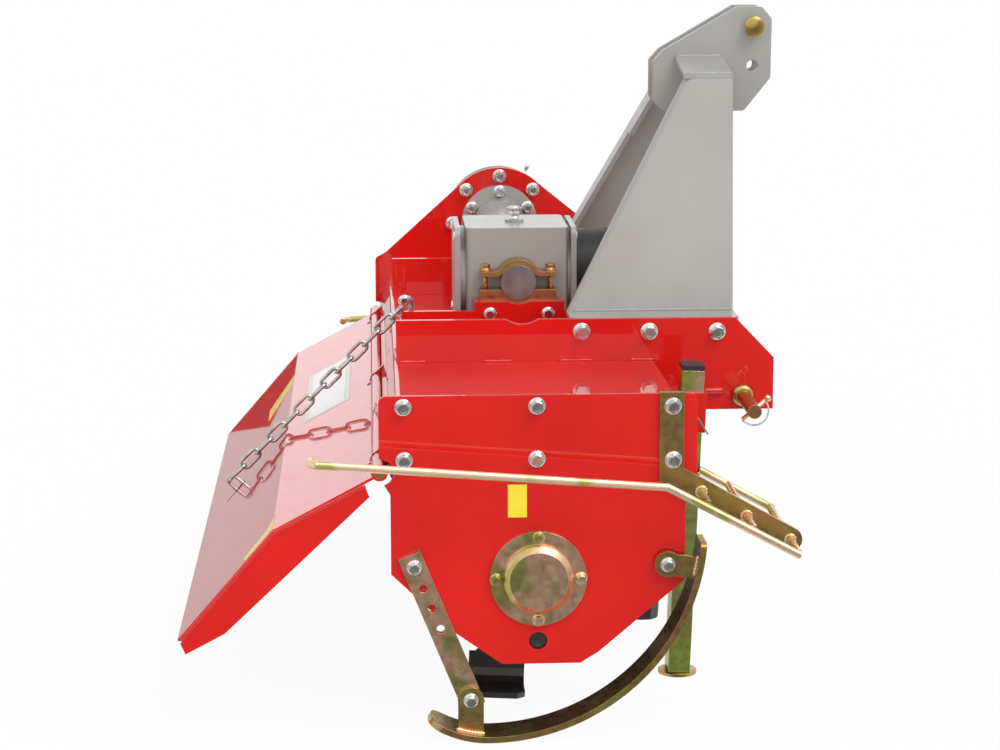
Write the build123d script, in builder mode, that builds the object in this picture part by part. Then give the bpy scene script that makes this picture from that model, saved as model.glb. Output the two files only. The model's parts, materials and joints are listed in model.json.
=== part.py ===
"""Rotary tiller for a category 1 three-point hitch, driven by a tractor's PTO shaft.

+X points forward to the tractor, +Y to the machine's left and +Z up, in millimetres.
The origin is the centre of the input shaft's front end. Side outlines are drawn as
seen from the machine's right and measured from the rotor's axis.
"""

import os
from math import asin, atan2, cos, degrees, hypot, radians, sin, tan

from build123d import *

os.makedirs("parts", exist_ok=True)

# ---------------------------------------------------------------- main places
rotor_x = -200.0          # rotor axis behind the input shaft's end
rotor_y = -70.0           # middle of the hood, right of the hitch's middle
rotor_z = -329.0          # rotor axis below the drive shaft
drive_x = 14.0            # drive shaft's axis ahead of the rotor's
drive_z = -rotor_z
ground_depth = 236.0      # rotor axis above the floor when parked
hood_width = 1400.0       # over the end plates
right_y = rotor_y - hood_width / 2
left_y = rotor_y + hood_width / 2
running_gap = 0.05        # radial play of a shaft in its bearing
seat_gap = 0.3            # between a piece and what it hangs on or faces

# ---------------------------------------------------------------- hood and end plates
hood_sheet = 5.0
end_plate = 6.0
deck_z = 236.0            # deck's top above the rotor axis
deck_rear = -200.0
deck_front = 212.0
hood_front = 224.0
hood_front_low = 136.0
lip_x = -219.0            # hood's rear lip above the rear board's hinge
lip_z = 173.0
plate_top = 268.0         # end plates' top edge
plate_half = 227.0
plate_low_half = 211.0    # end plates below their shoulder
plate_bottom = -128.0
plate_corner = 11.0
plate_low_corner = 26.0
notch_radius = 20.0       # round notch behind the hinge rod
hand_hole_z = -94.0
hand_hole_radius = 13.0
tower_radius = 107.0      # left end plate round the drive shaft
tower_slope = (74.0, 77.0)  # from the drive shaft to where the plate's slopes leave that round
hood_hole = (-204.0, -102.0, 210.0)  # spare hole in the hood's rear lip
hood_hole_radius = 6.0

# ---------------------------------------------------------------- rear board
hinge_x = -226.0
hinge_z = 157.0
hinge_rod_radius = 8.0
hinge_knuckle_radius = 12.0
hinge_lug_thick = 8.0
hinge_lug_gap = 5.0
hinge_lug_clear = 6.0     # between a lug and the board's cut-out round it
hinge_lug_foot = 22.0     # lug's reach over and under the hood's rear lip
hinge_lug_places = (-610.0, 0.0, 610.0)
board_sheet = 4.0
board_fold_x = -379.0
board_fold_z = 76.0
board_tip_x = -518.0
board_tip_z = -84.0
wing_thick = 4.0

# ---------------------------------------------------------------- rotor
tine_lead_corner = (210.0, -36.0)   # outward from the rotor's axis, and along its turn
tine_trail_corner = (189.0, 44.0)
tine_root = 48.0
tine_root_half = 24.0
tine_waist = 140.0        # where the arm starts to widen
tine_waist_half = 30.0
tine_bend = 28.0          # outer radius of the blade's bend
tine_bend_steps = (90, 60, 30, 0)   # degrees, the blade is pressed in three flat folds
tine_corner = 12.0
tine_phase = 92.0
tine_step = -40.0         # turn from one flange to the next
tube_radius = 38.0
flange_radius = 95.0
flange_corners = 8
flange_thick = 10.0
flange_count = 6
tines_per_side = 2
tine_thick = 8.0
blade_length = 64.0
stub_radius = 17.5
stub_inset = 14.0         # shaft end inside the bearing
rotor_side_gap = 12.0
bearing_radius = 58.0
bearing_depth = 18.0
bearing_hole = 40.0
cover_radius = 69.5
cover_thick = 6.0
dome_radius = 50.0
dome_height = 22.0

# ---------------------------------------------------------------- hitch and mast
hitch_spread = 682.0      # over the beams
beam_thick = 10.0
beam_top = 303.0
beam_low = 155.0
beam_rear = -197.0
beam_front = 402.0
lower_pin_x = 353.0
lower_pin_z = 178.0
lower_pin_radius = 11.0
lower_pin_length = 135.0
beam_notch = (2.5, 338.0) # round notch in the right beam's top edge
beam_notch_radius = 43.0
foot_past_leg = 9.0       # angle foot's reach inside the mast's leg
foot_drop = 42.0
foot_thick = 8.0
foot_rear = 78.0
foot_front = 346.0
mast_thick = 8.0
mast_base_half = 262.0
mast_top_half = 163.0
mast_top_z = 666.0
mast_top_rear = 275.0
mast_top_front = 355.0
mast_bend = 15.0          # outer radius of the leg's rear bend
mast_flange = 38.0
mast_flange_top = 50.0    # flange's depth above its kink
mast_kink = 300.0         # kink's place along the leg
cap_rear = 275.0
cap_front = 355.0
cap_rise = 20.0
ear_half = 30.0
ear_thick = 10.0
ear_corner = 9.0
ear_outline = [
    (238.0, 623.0),
    (238.0, 685.0),
    (254.0, 703.0),
    (378.0, 775.0),
    (420.0, 775.0),
    (437.0, 755.0),
    (436.0, 657.0),
    (392.0, 602.0),
    (254.0, 602.0),
]
top_pin_x = 405.0
top_pin_z = 743.0
top_pin_radius = 9.5
top_hole_drop = 66.0
pin_clearance = 0.3

# ---------------------------------------------------------------- gearbox and drive
gearbox_length = 171.0
gearbox_width = 170.0
gearbox_height = 170.0
gearbox_x = 8.5
gearbox_edge = 12.0
rear_cover_thick = 18.0
front_cover_thick = 14.0
cover_plate = 9.0         # covers' square plates
cover_neck = 7.0          # covers' round necks inside the housing's sides
cover_corner = 14.0
breather_boss = 16.0
breather_boss_high = 4.0
support_radius = 29.0
support_reach = 45.0      # stub tube beyond the housing
drive_tube_radius = 42.0
drive_flange_radius = 73.5
drive_flange_thick = 12.0
drive_steps = ((50.0, 20.0), (46.0, 32.0))  # radius and distance from the plate
input_radius = 17.45
journal_radius = 22.0
journal_stand = 2.5       # journal's length outside the front cover
guard_radius = 72.0
guard_length = 78.0
guard_wall = 3.0
case_top_radius = 98.0
case_low_radius = 96.0
case_depth = 66.0
case_cover = 8.0
case_rim = 4.0

# ---------------------------------------------------------------- gearbox support
bracket_y = -135.0        # bracket plate's right face
bracket_thick = 10.0
bracket_top = 283.0
bracket_rear = -186.0
bracket_raised = 298.0
bracket_flange = 38.0     # depth of the bracket's top flange under the clamp
bracket_raised_rear = -65.0
bracket_raised_front = 84.0
clamp_width = 34.0
clamp_thick = 8.0
clamp_half = 63.0         # half the clamp's length over its ears
clamp_ear_rise = 13.0     # middle of the strap's ears above the tube's axis
clamp_bend = 12.0         # middle radius between an ear and the arch
saddle_top = -13.0        # from the tube's axis
saddle_wall = 6.5         # under the tube

# ---------------------------------------------------------------- skids
bar_thick = 8.0
skid_width = 64.0
skid_overhang = 18.0      # skid's edge outside its lugs
skid_thick = 9.0
skid_low_x = -72.0
skid_front_radius = 312.0
skid_front_angle = 86.0
skid_rear_radius = 150.0
skid_rear_angle = 36.0
strut_width = 34.0
strut_top = (-178.0, 20.0)
strut_foot_high = 59.0    # skid's rear bolt above the floor
strut_foot = (-98.0, strut_foot_high - ground_depth)
strut_past_top = 19.0     # from the bolts to the strut's ends
strut_past_foot = 13.0
strut_holes = (34.0, 66.0, 99.0)  # from the upper bolt along the strut
strut_hole_radius = 6.0
lug_radius = 19.0
lug_width = 37.0
rear_lug_reach = 70.0
skid_rear_corner = 22.0
skid_front_corner = 6.0
skid_hole_radius = 5.5
skid_hole_in = 12.0       # from the runner's front end
skid_lug_bolt = (185.0, 21.0)
spacer_radius = 14.0

# ---------------------------------------------------------------- side guards
guard_bar_width = 35.0
guard_bar_x = 190.0
guard_bar_top = 271.0
guard_bar_bend = 150.0
guard_tip = (362.0, 53.0)
guard_rod_radius = 6.0
outer_rod_reach = 82.0    # outer rod's axis outside the end plate
outer_rod_bend = (176.0, 150.0)
outer_rod_tip = (365.0, 49.0)
rod_faces = 12
outer_rod_hook = 20.0     # rear end's turn toward the machine
outer_rod_turn = 9.0      # size of the turn's bend
inner_rod_reach = 190.0   # inner rod's axis inside the end plate
inner_rod_start = (254.0, 112.0)
guard_rung_radius = 5.5
guard_rungs = ((0.25, False), (0.63, True), (1.0, True))  # place along the leg, reaches the inner rod
left_rod_end = (-292.0, 126.0)
right_rod_end = (-322.0, 189.0)

# ---------------------------------------------------------------- stand
stand_y = -408.0          # from the hood's middle
stand_length = 34.0
stand_depth = 46.0
stand_wall = 3.0
stand_tilt = 2.1
stand_foot_x = 237.0
stand_foot_radius = 30.0
stand_foot_thick = 5.0
stand_top = 247.0
cap_height = 8.0
sleeve_wall = 4.0
sleeve_gap = 0.3
sleeve_low = 152.0
sleeve_high = 214.0
stand_holes = (79.0,)     # above the leg's lower end
stand_hole_radius = 6.0

# ---------------------------------------------------------------- chain
chain_wire = 3.0
chain_pitch = 32.0
chain_half_width = 8.0    # from a link's middle to its wire's axis
chain_links = 13
chain_beside_bracket = 12.5
chain_top = (-179.7, 293.0)
chain_end_lift = 21.0     # chain's lower end above the board's lower panel
staple_wire = 3.5
staple_half = 8.0
keyhole_radius = 13.0
keyhole_slot = 10.0
keyhole_drop = 34.0       # slot's end below the round hole's middle


def from_rotor(*points):
    """Points of a side outline, moved from the rotor's axis to the part's frame."""
    return [(rotor_x + x, rotor_z + z) for x, z in points]


def side_plane(y):
    """Drawing plane at width y, seen from the machine's right."""
    return Plane.XZ.offset(-y)


def side_axis_plane(x, y, z, sign=-1):
    """Plane square to the machine's width at a point from the rotor; sign -1 faces right."""
    return Plane((rotor_x + x, y, rotor_z + z), x_dir=(1, 0, 0), z_dir=(0, sign, 0))


def strip(points, width):
    """Outline of a flat bar of one width, mitred where its middle line bends."""
    points = [Vector(*point) for point in points]
    ways = [(b - a).normalized() for a, b in zip(points, points[1:])]
    near, far = [], []
    for point, way, other in zip(points, ways[:1] + ways, ways + ways[-1:]):
        mean = (way + other).normalized()
        across = Vector(-mean.Y, mean.X) * (width / 2 / mean.dot(way))
        near.append(tuple(point + across)[:2])
        far.append(tuple(point - across)[:2])
    return near + far[::-1]


def corners(shape, *points):
    """Corners of a side sketch at points measured from the rotor's axis."""
    spots = from_rotor(*points)
    return [v for v in shape.vertices() if any(hypot(v.X - x, v.Y - z) < 0.5 for x, z in spots)]


def finish(part, name):
    """Label one piece and write its STEP file."""
    part.label = name
    export_step(part, f"parts/{name}.step")


inner_right = right_y + end_plate
inner_left = left_y - end_plate

# =================================================================== hood
with BuildPart() as hood:
    with BuildSketch(side_plane(inner_left)):
        with BuildLine():
            FilletPolyline(
                *from_rotor(
                    (lip_x, lip_z),
                    (deck_rear, deck_z),
                    (deck_front, deck_z),
                    (hood_front, deck_z - 21),
                    (hood_front, hood_front_low),
                ),
                radius=8,
            )
            offset(amount=hood_sheet, side=Side.RIGHT)
        make_face()
    extrude(amount=inner_left - inner_right)
    with Locations((rotor_x + hood_hole[0], hood_hole[1], rotor_z + hood_hole[2])):
        Cylinder(hood_hole_radius, 6 * hood_sheet, rotation=(0, 90, 0), mode=Mode.SUBTRACT)
finish(hood.part, "hood")

lower_outline = [
    (plate_half, 150),
    (plate_low_half, 132),
    (plate_low_half, -6),
    (87, -112),
    (61, plate_bottom),
    (-52, plate_bottom),
    (-120, -80),
    (-plate_low_half, 8),
    (-plate_low_half, 125),
    (-plate_half, 150),
]
right_top = [(-plate_half, plate_top), (plate_half, plate_top)]
left_top = [
    (-plate_half, 262),
    (-206, 274),
    (drive_x - tower_slope[0], drive_z + tower_slope[1]),
    (drive_x + tower_slope[0], drive_z + tower_slope[1]),
    (160, 348),
    (plate_half, 285),
]
for side, face_y, top in (("right", inner_right, right_top), ("left", left_y, left_top)):
    with BuildPart() as plate:
        with BuildSketch(side_plane(face_y)):
            outline = Polygon(*from_rotor(*lower_outline, *top), align=None)
            fillet(corners(outline, *top), plate_corner)
            fillet(corners(outline, (61, plate_bottom), (-52, plate_bottom)), plate_low_corner)
            if side == "left":
                with Locations(from_rotor((drive_x, drive_z))[0]):
                    Circle(tower_radius)
            with Locations(from_rotor((hinge_x, hinge_z))[0]):
                Circle(notch_radius, mode=Mode.SUBTRACT)
            with Locations(from_rotor((0, 0))[0]):
                Circle(bearing_hole, mode=Mode.SUBTRACT)
            if side == "right":
                with Locations(from_rotor((0, hand_hole_z))[0]):
                    Circle(hand_hole_radius, mode=Mode.SUBTRACT)
        extrude(amount=end_plate)
    finish(plate.part, f"end_plate_{side}")

# =================================================================== drive case
for name, start, depth, rim in (
    ("drive_case", left_y, case_depth, 0.0),
    ("drive_case_cover", left_y + case_depth, case_cover, case_rim),
):
    with BuildPart() as case:
        with BuildSketch(side_plane(start + depth)):
            with Locations(from_rotor((drive_x, drive_z))[0]):
                Circle(case_top_radius + rim)
            with Locations(from_rotor((0, 0))[0]):
                Circle(case_low_radius + rim)
            make_hull()
        extrude(amount=depth)
    finish(case.part, name)

# =================================================================== bearings
with BuildPart() as bearing_cover:
    with BuildSketch(side_axis_plane(0, right_y, 0)):
        Circle(cover_radius)
    extrude(amount=cover_thick)
    with BuildSketch(side_axis_plane(0, right_y - cover_thick, 0)):
        Circle(dome_radius)
    extrude(amount=dome_height - cover_thick)
    chamfer(bearing_cover.faces().sort_by(Axis.Y)[0].edges(), 8)
finish(bearing_cover.part, "bearing_cover")

with BuildPart() as bearings:
    for face_y, sign in ((inner_right, 1), (inner_left, -1)):
        with BuildSketch(side_axis_plane(0, face_y, 0, sign)):
            Circle(bearing_radius)
            Circle(stub_radius + running_gap, mode=Mode.SUBTRACT)
        extrude(amount=bearing_depth)
finish(bearings.part, "rotor_bearings")

# =================================================================== rotor
rotor_right = inner_right + bearing_depth + rotor_side_gap
rotor_left = inner_left - bearing_depth - rotor_side_gap
rotor_length = rotor_left - rotor_right
rotor_middle = side_axis_plane(0, rotor_y, 0)
flange_pitch = (rotor_length - 2 * blade_length - flange_thick) / (flange_count - 1)
flange_places = [(n - (flange_count - 1) / 2) * flange_pitch for n in range(flange_count)]

with BuildPart() as rotor:
    with BuildSketch(rotor_middle):
        Circle(tube_radius)
    extrude(amount=rotor_length / 2, both=True)
    with BuildSketch(rotor_middle):
        Circle(stub_radius)
    extrude(amount=rotor_length / 2 + rotor_side_gap + stub_inset, both=True)
    for place in flange_places:
        with BuildSketch(rotor_middle.offset(place)):
            RegularPolygon(flange_radius, flange_corners)
        extrude(amount=flange_thick / 2, both=True)
finish(rotor.part, "rotor")

tine_edge = Vector(tine_trail_corner[0] - tine_lead_corner[0], tine_trail_corner[1] - tine_lead_corner[1], 0)
tine_out = Vector(tine_edge.Y, -tine_edge.X, 0).normalized()
bend_plane = Plane(
    (tine_lead_corner[0], tine_lead_corner[1], 0),
    x_dir=tine_out,
    z_dir=tine_edge.normalized(),
)
with BuildPart() as tine:
    with BuildSketch(bend_plane):
        with BuildLine():
            Polyline(
                (-tine_bend - 3 * tine_thick, 0),
                *[(tine_bend * (cos(radians(a)) - 1), tine_bend * (sin(radians(a)) - 1)) for a in tine_bend_steps],
                (0, -blade_length),
            )
            offset(amount=tine_thick, side=Side.RIGHT)
        make_face()
    extrude(amount=tine_edge.length)
    free_edges = [
        e for e in tine.edges() if e.center().Z > blade_length - 1 and abs(e.length - tine_thick) < 0.5
    ]
    chamfer(free_edges, tine_corner)
    inner_lead = Vector(*tine_lead_corner, 0) - tine_out * (tine_bend + 2 * tine_thick)
    inner_trail = Vector(*tine_trail_corner, 0) - tine_out * (tine_bend + 2 * tine_thick)
    with BuildSketch(Plane.XY):
        Polygon(
            (tine_root, -tine_root_half),
            (tine_waist, -tine_waist_half),
            (inner_lead.X, inner_lead.Y),
            (inner_trail.X, inner_trail.Y),
            (tine_waist, tine_waist_half),
            (tine_root, tine_root_half),
            align=None,
        )
    extrude(amount=tine_thick)
    chamfer([e for e in tine.edges().filter_by(Axis.Z) if e.center().X < tine_root + 1], tine_root_half / 2)

for name, sign, lead in (("tines_right_hand", 1, 0), ("tines_left_hand", -1, 90)):
    blade = tine.part if sign > 0 else mirror(tine.part, about=Plane.XY)
    tines = []
    for number, place in enumerate(flange_places):
        for turn in range(tines_per_side):
            angle = 180 * turn + tine_phase + tine_step * number + lead
            spot = Pos(0, 0, place + sign * flange_thick / 2) * Rot(0, 0, angle)
            tines.append(rotor_middle.location * spot * blade)
    finish(Compound(children=tines), name)

# =================================================================== gearbox
box_x = rotor_x + gearbox_x
box_rear = box_x - gearbox_length / 2
box_front = box_x + gearbox_length / 2
box_side = gearbox_width / 2
with BuildPart() as gearbox:
    with Locations((box_x, 0, 0)):
        Box(gearbox_length, gearbox_width, gearbox_height)
    fillet(gearbox.edges().filter_by(Axis.Z), gearbox_edge)
    with BuildSketch(Plane.XY.offset(gearbox_height / 2)):
        with Locations((box_x, 0)):
            Circle(breather_boss)
    extrude(amount=breather_boss_high)
finish(gearbox.part, "gearbox")

neck_radius = box_side - cover_neck
with BuildPart() as rear_cover:
    with BuildSketch(Plane.YZ.offset(box_rear - rear_cover_thick)):
        RectangleRounded(gearbox_width, gearbox_height, cover_corner)
    extrude(amount=cover_plate)
    with BuildSketch(Plane.YZ.offset(box_rear)):
        Circle(neck_radius)
    extrude(amount=cover_plate - rear_cover_thick)
finish(rear_cover.part, "gearbox_rear_cover")

with BuildPart() as front_cover:
    with BuildSketch(Plane.YZ.offset(box_front + front_cover_thick)):
        RectangleRounded(gearbox_width, gearbox_height, cover_corner)
    extrude(amount=-cover_plate)
    with BuildSketch(Plane.YZ.offset(box_front)):
        Circle(neck_radius)
    extrude(amount=front_cover_thick - cover_plate)
    with BuildSketch(Plane.YZ.offset(box_front)):
        Circle(journal_radius + running_gap)
    extrude(amount=front_cover_thick, mode=Mode.SUBTRACT)
finish(front_cover.part, "gearbox_front_cover")

with BuildPart() as input_shaft:
    journal_end = box_front + front_cover_thick + journal_stand
    with BuildSketch(Plane.YZ):
        Circle(input_radius)
    extrude(amount=journal_end)
    with BuildSketch(Plane.YZ.offset(journal_end)):
        Circle(journal_radius)
    extrude(amount=box_front + seat_gap - journal_end)
finish(input_shaft.part, "input_shaft")

guard_start = box_front + front_cover_thick
with BuildPart() as input_guard:
    with BuildSketch(Plane.YZ.offset(guard_start)):
        Circle(guard_radius)
        Circle(guard_radius - guard_wall, mode=Mode.SUBTRACT)
    extrude(amount=guard_length)
    with BuildSketch(Plane.YZ.offset(guard_start)):
        Circle(guard_radius)
        Circle(input_radius + 12, mode=Mode.SUBTRACT)
    extrude(amount=guard_wall)
finish(input_guard.part, "input_guard")

with BuildPart() as support_tube:
    with BuildSketch(side_axis_plane(gearbox_x, -box_side, drive_z)):
        Circle(support_radius)
    extrude(amount=support_reach)
finish(support_tube.part, "support_tube")

with BuildPart() as drive_tube:
    with BuildSketch(side_axis_plane(drive_x, box_side, drive_z, 1)):
        Circle(drive_tube_radius)
    extrude(amount=inner_left - box_side)
    with BuildSketch(side_axis_plane(drive_x, inner_left, drive_z)):
        Circle(drive_flange_radius)
    extrude(amount=drive_flange_thick)
    for step_radius, step_reach in drive_steps:
        with BuildSketch(side_axis_plane(drive_x, inner_left, drive_z)):
            Circle(step_radius)
        extrude(amount=step_reach)
finish(drive_tube.part, "drive_tube")

# =================================================================== gearbox support
tube_place = from_rotor((gearbox_x, drive_z))[0]
with BuildPart() as gearbox_bracket:
    with BuildSketch(side_plane(bracket_y + bracket_thick)):
        Polygon(
            *from_rotor(
                (bracket_rear, deck_z),
                (bracket_rear, bracket_top),
                (bracket_raised_rear, bracket_top),
                (bracket_raised_rear, bracket_raised),
                (bracket_raised_front, bracket_raised),
                (bracket_raised_front, bracket_top),
                (deck_front - 4, bracket_top),
                (deck_front - 4, deck_z),
            ),
            align=None,
        )
    extrude(amount=bracket_thick)
    with BuildSketch(side_plane(bracket_y + bracket_thick + bracket_flange)):
        with BuildLine():
            Polyline(
                *from_rotor(
                    (bracket_raised_rear, bracket_raised),
                    (bracket_raised_front, bracket_raised),
                    (bracket_raised_front, bracket_raised - bracket_thick),
                    (bracket_raised_rear, bracket_raised - bracket_thick),
                ),
                close=True,
            )
        make_face()
    extrude(amount=bracket_flange)
    with BuildSketch(side_plane(bracket_y + bracket_thick + bracket_flange)):
        with Locations(tube_place):
            Circle(support_radius + saddle_wall)
    extrude(amount=bracket_flange + bracket_thick, mode=Mode.SUBTRACT)
finish(gearbox_bracket.part, "gearbox_bracket")

clamp_y = -box_side - 4
with BuildPart() as saddle:
    with BuildSketch(side_plane(clamp_y)):
        with Locations(tube_place):
            Circle(support_radius + saddle_wall)
            with Locations((0, saddle_top)):
                Rectangle(2 * clamp_half, drive_z - bracket_raised + saddle_top, align=(Align.CENTER, Align.MAX))
                Rectangle(4 * clamp_half, 2 * clamp_half, align=(Align.CENTER, Align.MIN), mode=Mode.SUBTRACT)
            Circle(support_radius, mode=Mode.SUBTRACT)
    extrude(amount=clamp_width)
finish(saddle.part, "clamp_saddle")

arch = support_radius + clamp_thick / 2
bend_x = ((arch - clamp_ear_rise) * (arch + clamp_ear_rise + 2 * clamp_bend)) ** 0.5
bend = Vector(bend_x, clamp_ear_rise + clamp_bend)
ear_low = clamp_ear_rise - clamp_thick / 2
meet = bend.normalized() * support_radius
middle = bend - (bend.normalized() + Vector(0, 1)).normalized() * (clamp_bend + clamp_thick / 2)
with BuildPart() as strap:
    with BuildSketch(Plane((tube_place[0], clamp_y, tube_place[1]), x_dir=(1, 0, 0), z_dir=(0, -1, 0))):
        with BuildLine():
            Line((-clamp_half, ear_low), (-bend_x, ear_low))
            ThreePointArc((-bend_x, ear_low), (-middle.X, middle.Y), (-meet.X, meet.Y))
            ThreePointArc((-meet.X, meet.Y), (0, support_radius), (meet.X, meet.Y))
            ThreePointArc((meet.X, meet.Y), (middle.X, middle.Y), (bend_x, ear_low))
            Line((bend_x, ear_low), (clamp_half, ear_low))
            offset(amount=clamp_thick, side=Side.LEFT)
        make_face()
    extrude(amount=clamp_width)
finish(strap.part, "clamp_strap")

# =================================================================== hitch beams and mast
beam_half = hitch_spread / 2
beam_outline = [
    (beam_rear, beam_top),
    (340, beam_top),
    (beam_front, 238),
    (beam_front, beam_low),
    (hood_front, beam_low),
    (hood_front, deck_z - 21),
    (deck_front, deck_z),
    (beam_rear, deck_z),
]
mast_lean = degrees(atan2(mast_base_half - mast_top_half, mast_top_z - beam_top))
leg_length = hypot(mast_base_half - mast_top_half, mast_top_z - beam_top)
for side, sign in (("right", -1), ("left", 1)):
    outer_face = sign * beam_half
    inner_face = sign * (beam_half - beam_thick)
    with BuildPart() as beam:
        with BuildSketch(side_plane(max(outer_face, inner_face))):
            Polygon(*from_rotor(*beam_outline), align=None)
            if side == "right":
                with Locations(from_rotor(beam_notch)[0]):
                    Circle(beam_notch_radius, mode=Mode.SUBTRACT)
            if side == "left":
                with Locations(from_rotor((drive_x, drive_z))[0]):
                    Circle(drive_tube_radius + 6, mode=Mode.SUBTRACT)
        extrude(amount=beam_thick)
    finish(beam.part, f"hitch_beam_{side}")

    with BuildPart() as pin:
        with BuildSketch(side_axis_plane(lower_pin_x, outer_face, lower_pin_z, sign)):
            Circle(lower_pin_radius)
        extrude(amount=lower_pin_length)
    finish(pin.part, f"lower_pin_{side}")

    with BuildPart() as foot:
        with BuildSketch(Plane.YZ.offset(rotor_x + foot_rear)):
            top = rotor_z + beam_top
            foot_edge = sign * (mast_base_half - foot_past_leg)
            Polygon(
                (inner_face, top),
                (foot_edge, top),
                (foot_edge, top - foot_thick),
                (inner_face - sign * foot_thick, top - foot_thick),
                (inner_face - sign * foot_thick, top - foot_drop),
                (inner_face, top - foot_drop),
                align=None,
            )
        extrude(amount=foot_front - foot_rear)
    finish(foot.part, f"mast_foot_{side}")

    leg_plane = Plane(
        (rotor_x, sign * mast_base_half, rotor_z + beam_top),
        x_dir=(1, 0, 0),
        z_dir=(0, -cos(radians(mast_lean)), -sign * sin(radians(mast_lean))),
    )
    rise = Vector(mast_top_rear - foot_rear, leg_length).normalized()
    edge_way = leg_plane.x_dir * rise.X + leg_plane.y_dir * rise.Y
    into_plate = leg_plane.x_dir * rise.Y - leg_plane.y_dir * rise.X
    inward = leg_plane.z_dir * sign
    edge_length = hypot(mast_top_rear - foot_rear, leg_length)
    edge_start = leg_plane.from_local_coords((foot_rear, 0, 0)) - edge_way * foot_front / 4
    edge_plane = Plane(edge_start, x_dir=into_plate, z_dir=edge_way)
    turn = 1 if edge_plane.y_dir.dot(inward) > 0 else -1
    inset = (mast_bend + 2) / rise.Y
    with BuildPart() as leg:
        with BuildSketch(leg_plane):
            Polygon(
                (foot_rear + inset, 0),
                (foot_front, 0),
                (mast_top_front, leg_length + mast_thick),
                (mast_top_rear + inset + mast_thick * rise.X / rise.Y, leg_length + mast_thick),
                align=None,
            )
        extrude(amount=mast_thick / 2, both=True)
        for depth, start in ((mast_flange, 0), (mast_flange_top, mast_kink + foot_front / 4)):
            with BuildSketch(edge_plane.offset(start)):
                with BuildLine():
                    FilletPolyline(
                        (mast_bend + mast_thick, -turn * mast_thick / 2),
                        (0, -turn * mast_thick / 2),
                        (0, turn * depth),
                        radius=mast_bend,
                    )
                    offset(amount=mast_thick, side=Side.RIGHT if turn > 0 else Side.LEFT)
                make_face()
            extrude(amount=edge_length + foot_front / 2 - start)
        split(bisect_by=Plane((0, 0, rotor_z + beam_top)), keep=Keep.TOP)
        split(bisect_by=Plane((0, 0, rotor_z + mast_top_z)), keep=Keep.BOTTOM)
    finish(leg.part, f"mast_leg_{side}")

    with BuildPart() as ear:
        with BuildSketch(side_plane(sign * ear_half + ear_thick / 2)):
            outline = Polygon(*from_rotor(*ear_outline), align=None)
            fillet(outline.vertices(), ear_corner)
            with Locations(
                from_rotor((top_pin_x, top_pin_z))[0],
            ):
                Circle(top_pin_radius + pin_clearance, mode=Mode.SUBTRACT)
            with Locations(from_rotor((top_pin_x, top_pin_z - top_hole_drop))[0]):
                Circle(top_pin_radius, mode=Mode.SUBTRACT)
        extrude(amount=ear_thick)
    finish(ear.part, f"mast_ear_{side}")

with BuildPart() as mast_cap:
    with BuildSketch(Plane.YZ.offset(rotor_x + cap_rear)):
        cap_edge = mast_top_half + mast_thick / 2 / cos(radians(mast_lean))
        cap_low = rotor_z + mast_top_z
        ear_face = ear_half + ear_thick / 2
        for sign in (-1, 1):
            Polygon(
                (sign * cap_edge, cap_low),
                (sign * cap_edge, cap_low + mast_thick),
                (sign * ear_face, cap_low + mast_thick + cap_rise),
                (sign * ear_face, cap_low + cap_rise),
                align=None,
            )
    extrude(amount=cap_front - cap_rear)
finish(mast_cap.part, "mast_cap")

with BuildPart() as top_pin:
    with BuildSketch(side_axis_plane(top_pin_x, 0, top_pin_z)):
        Circle(top_pin_radius)
    extrude(amount=ear_half + ear_thick + 16, both=True)
finish(top_pin.part, "top_link_pin")


# =================================================================== skids
def skid_point(angle, radius):
    """Point of the skid's underside at an angle from straight down."""
    turn = radians(angle - 90)
    x = skid_low_x + radius * cos(turn)
    z = -ground_depth + radius + radius * sin(turn)
    return from_rotor((x, z))[0]


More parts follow.
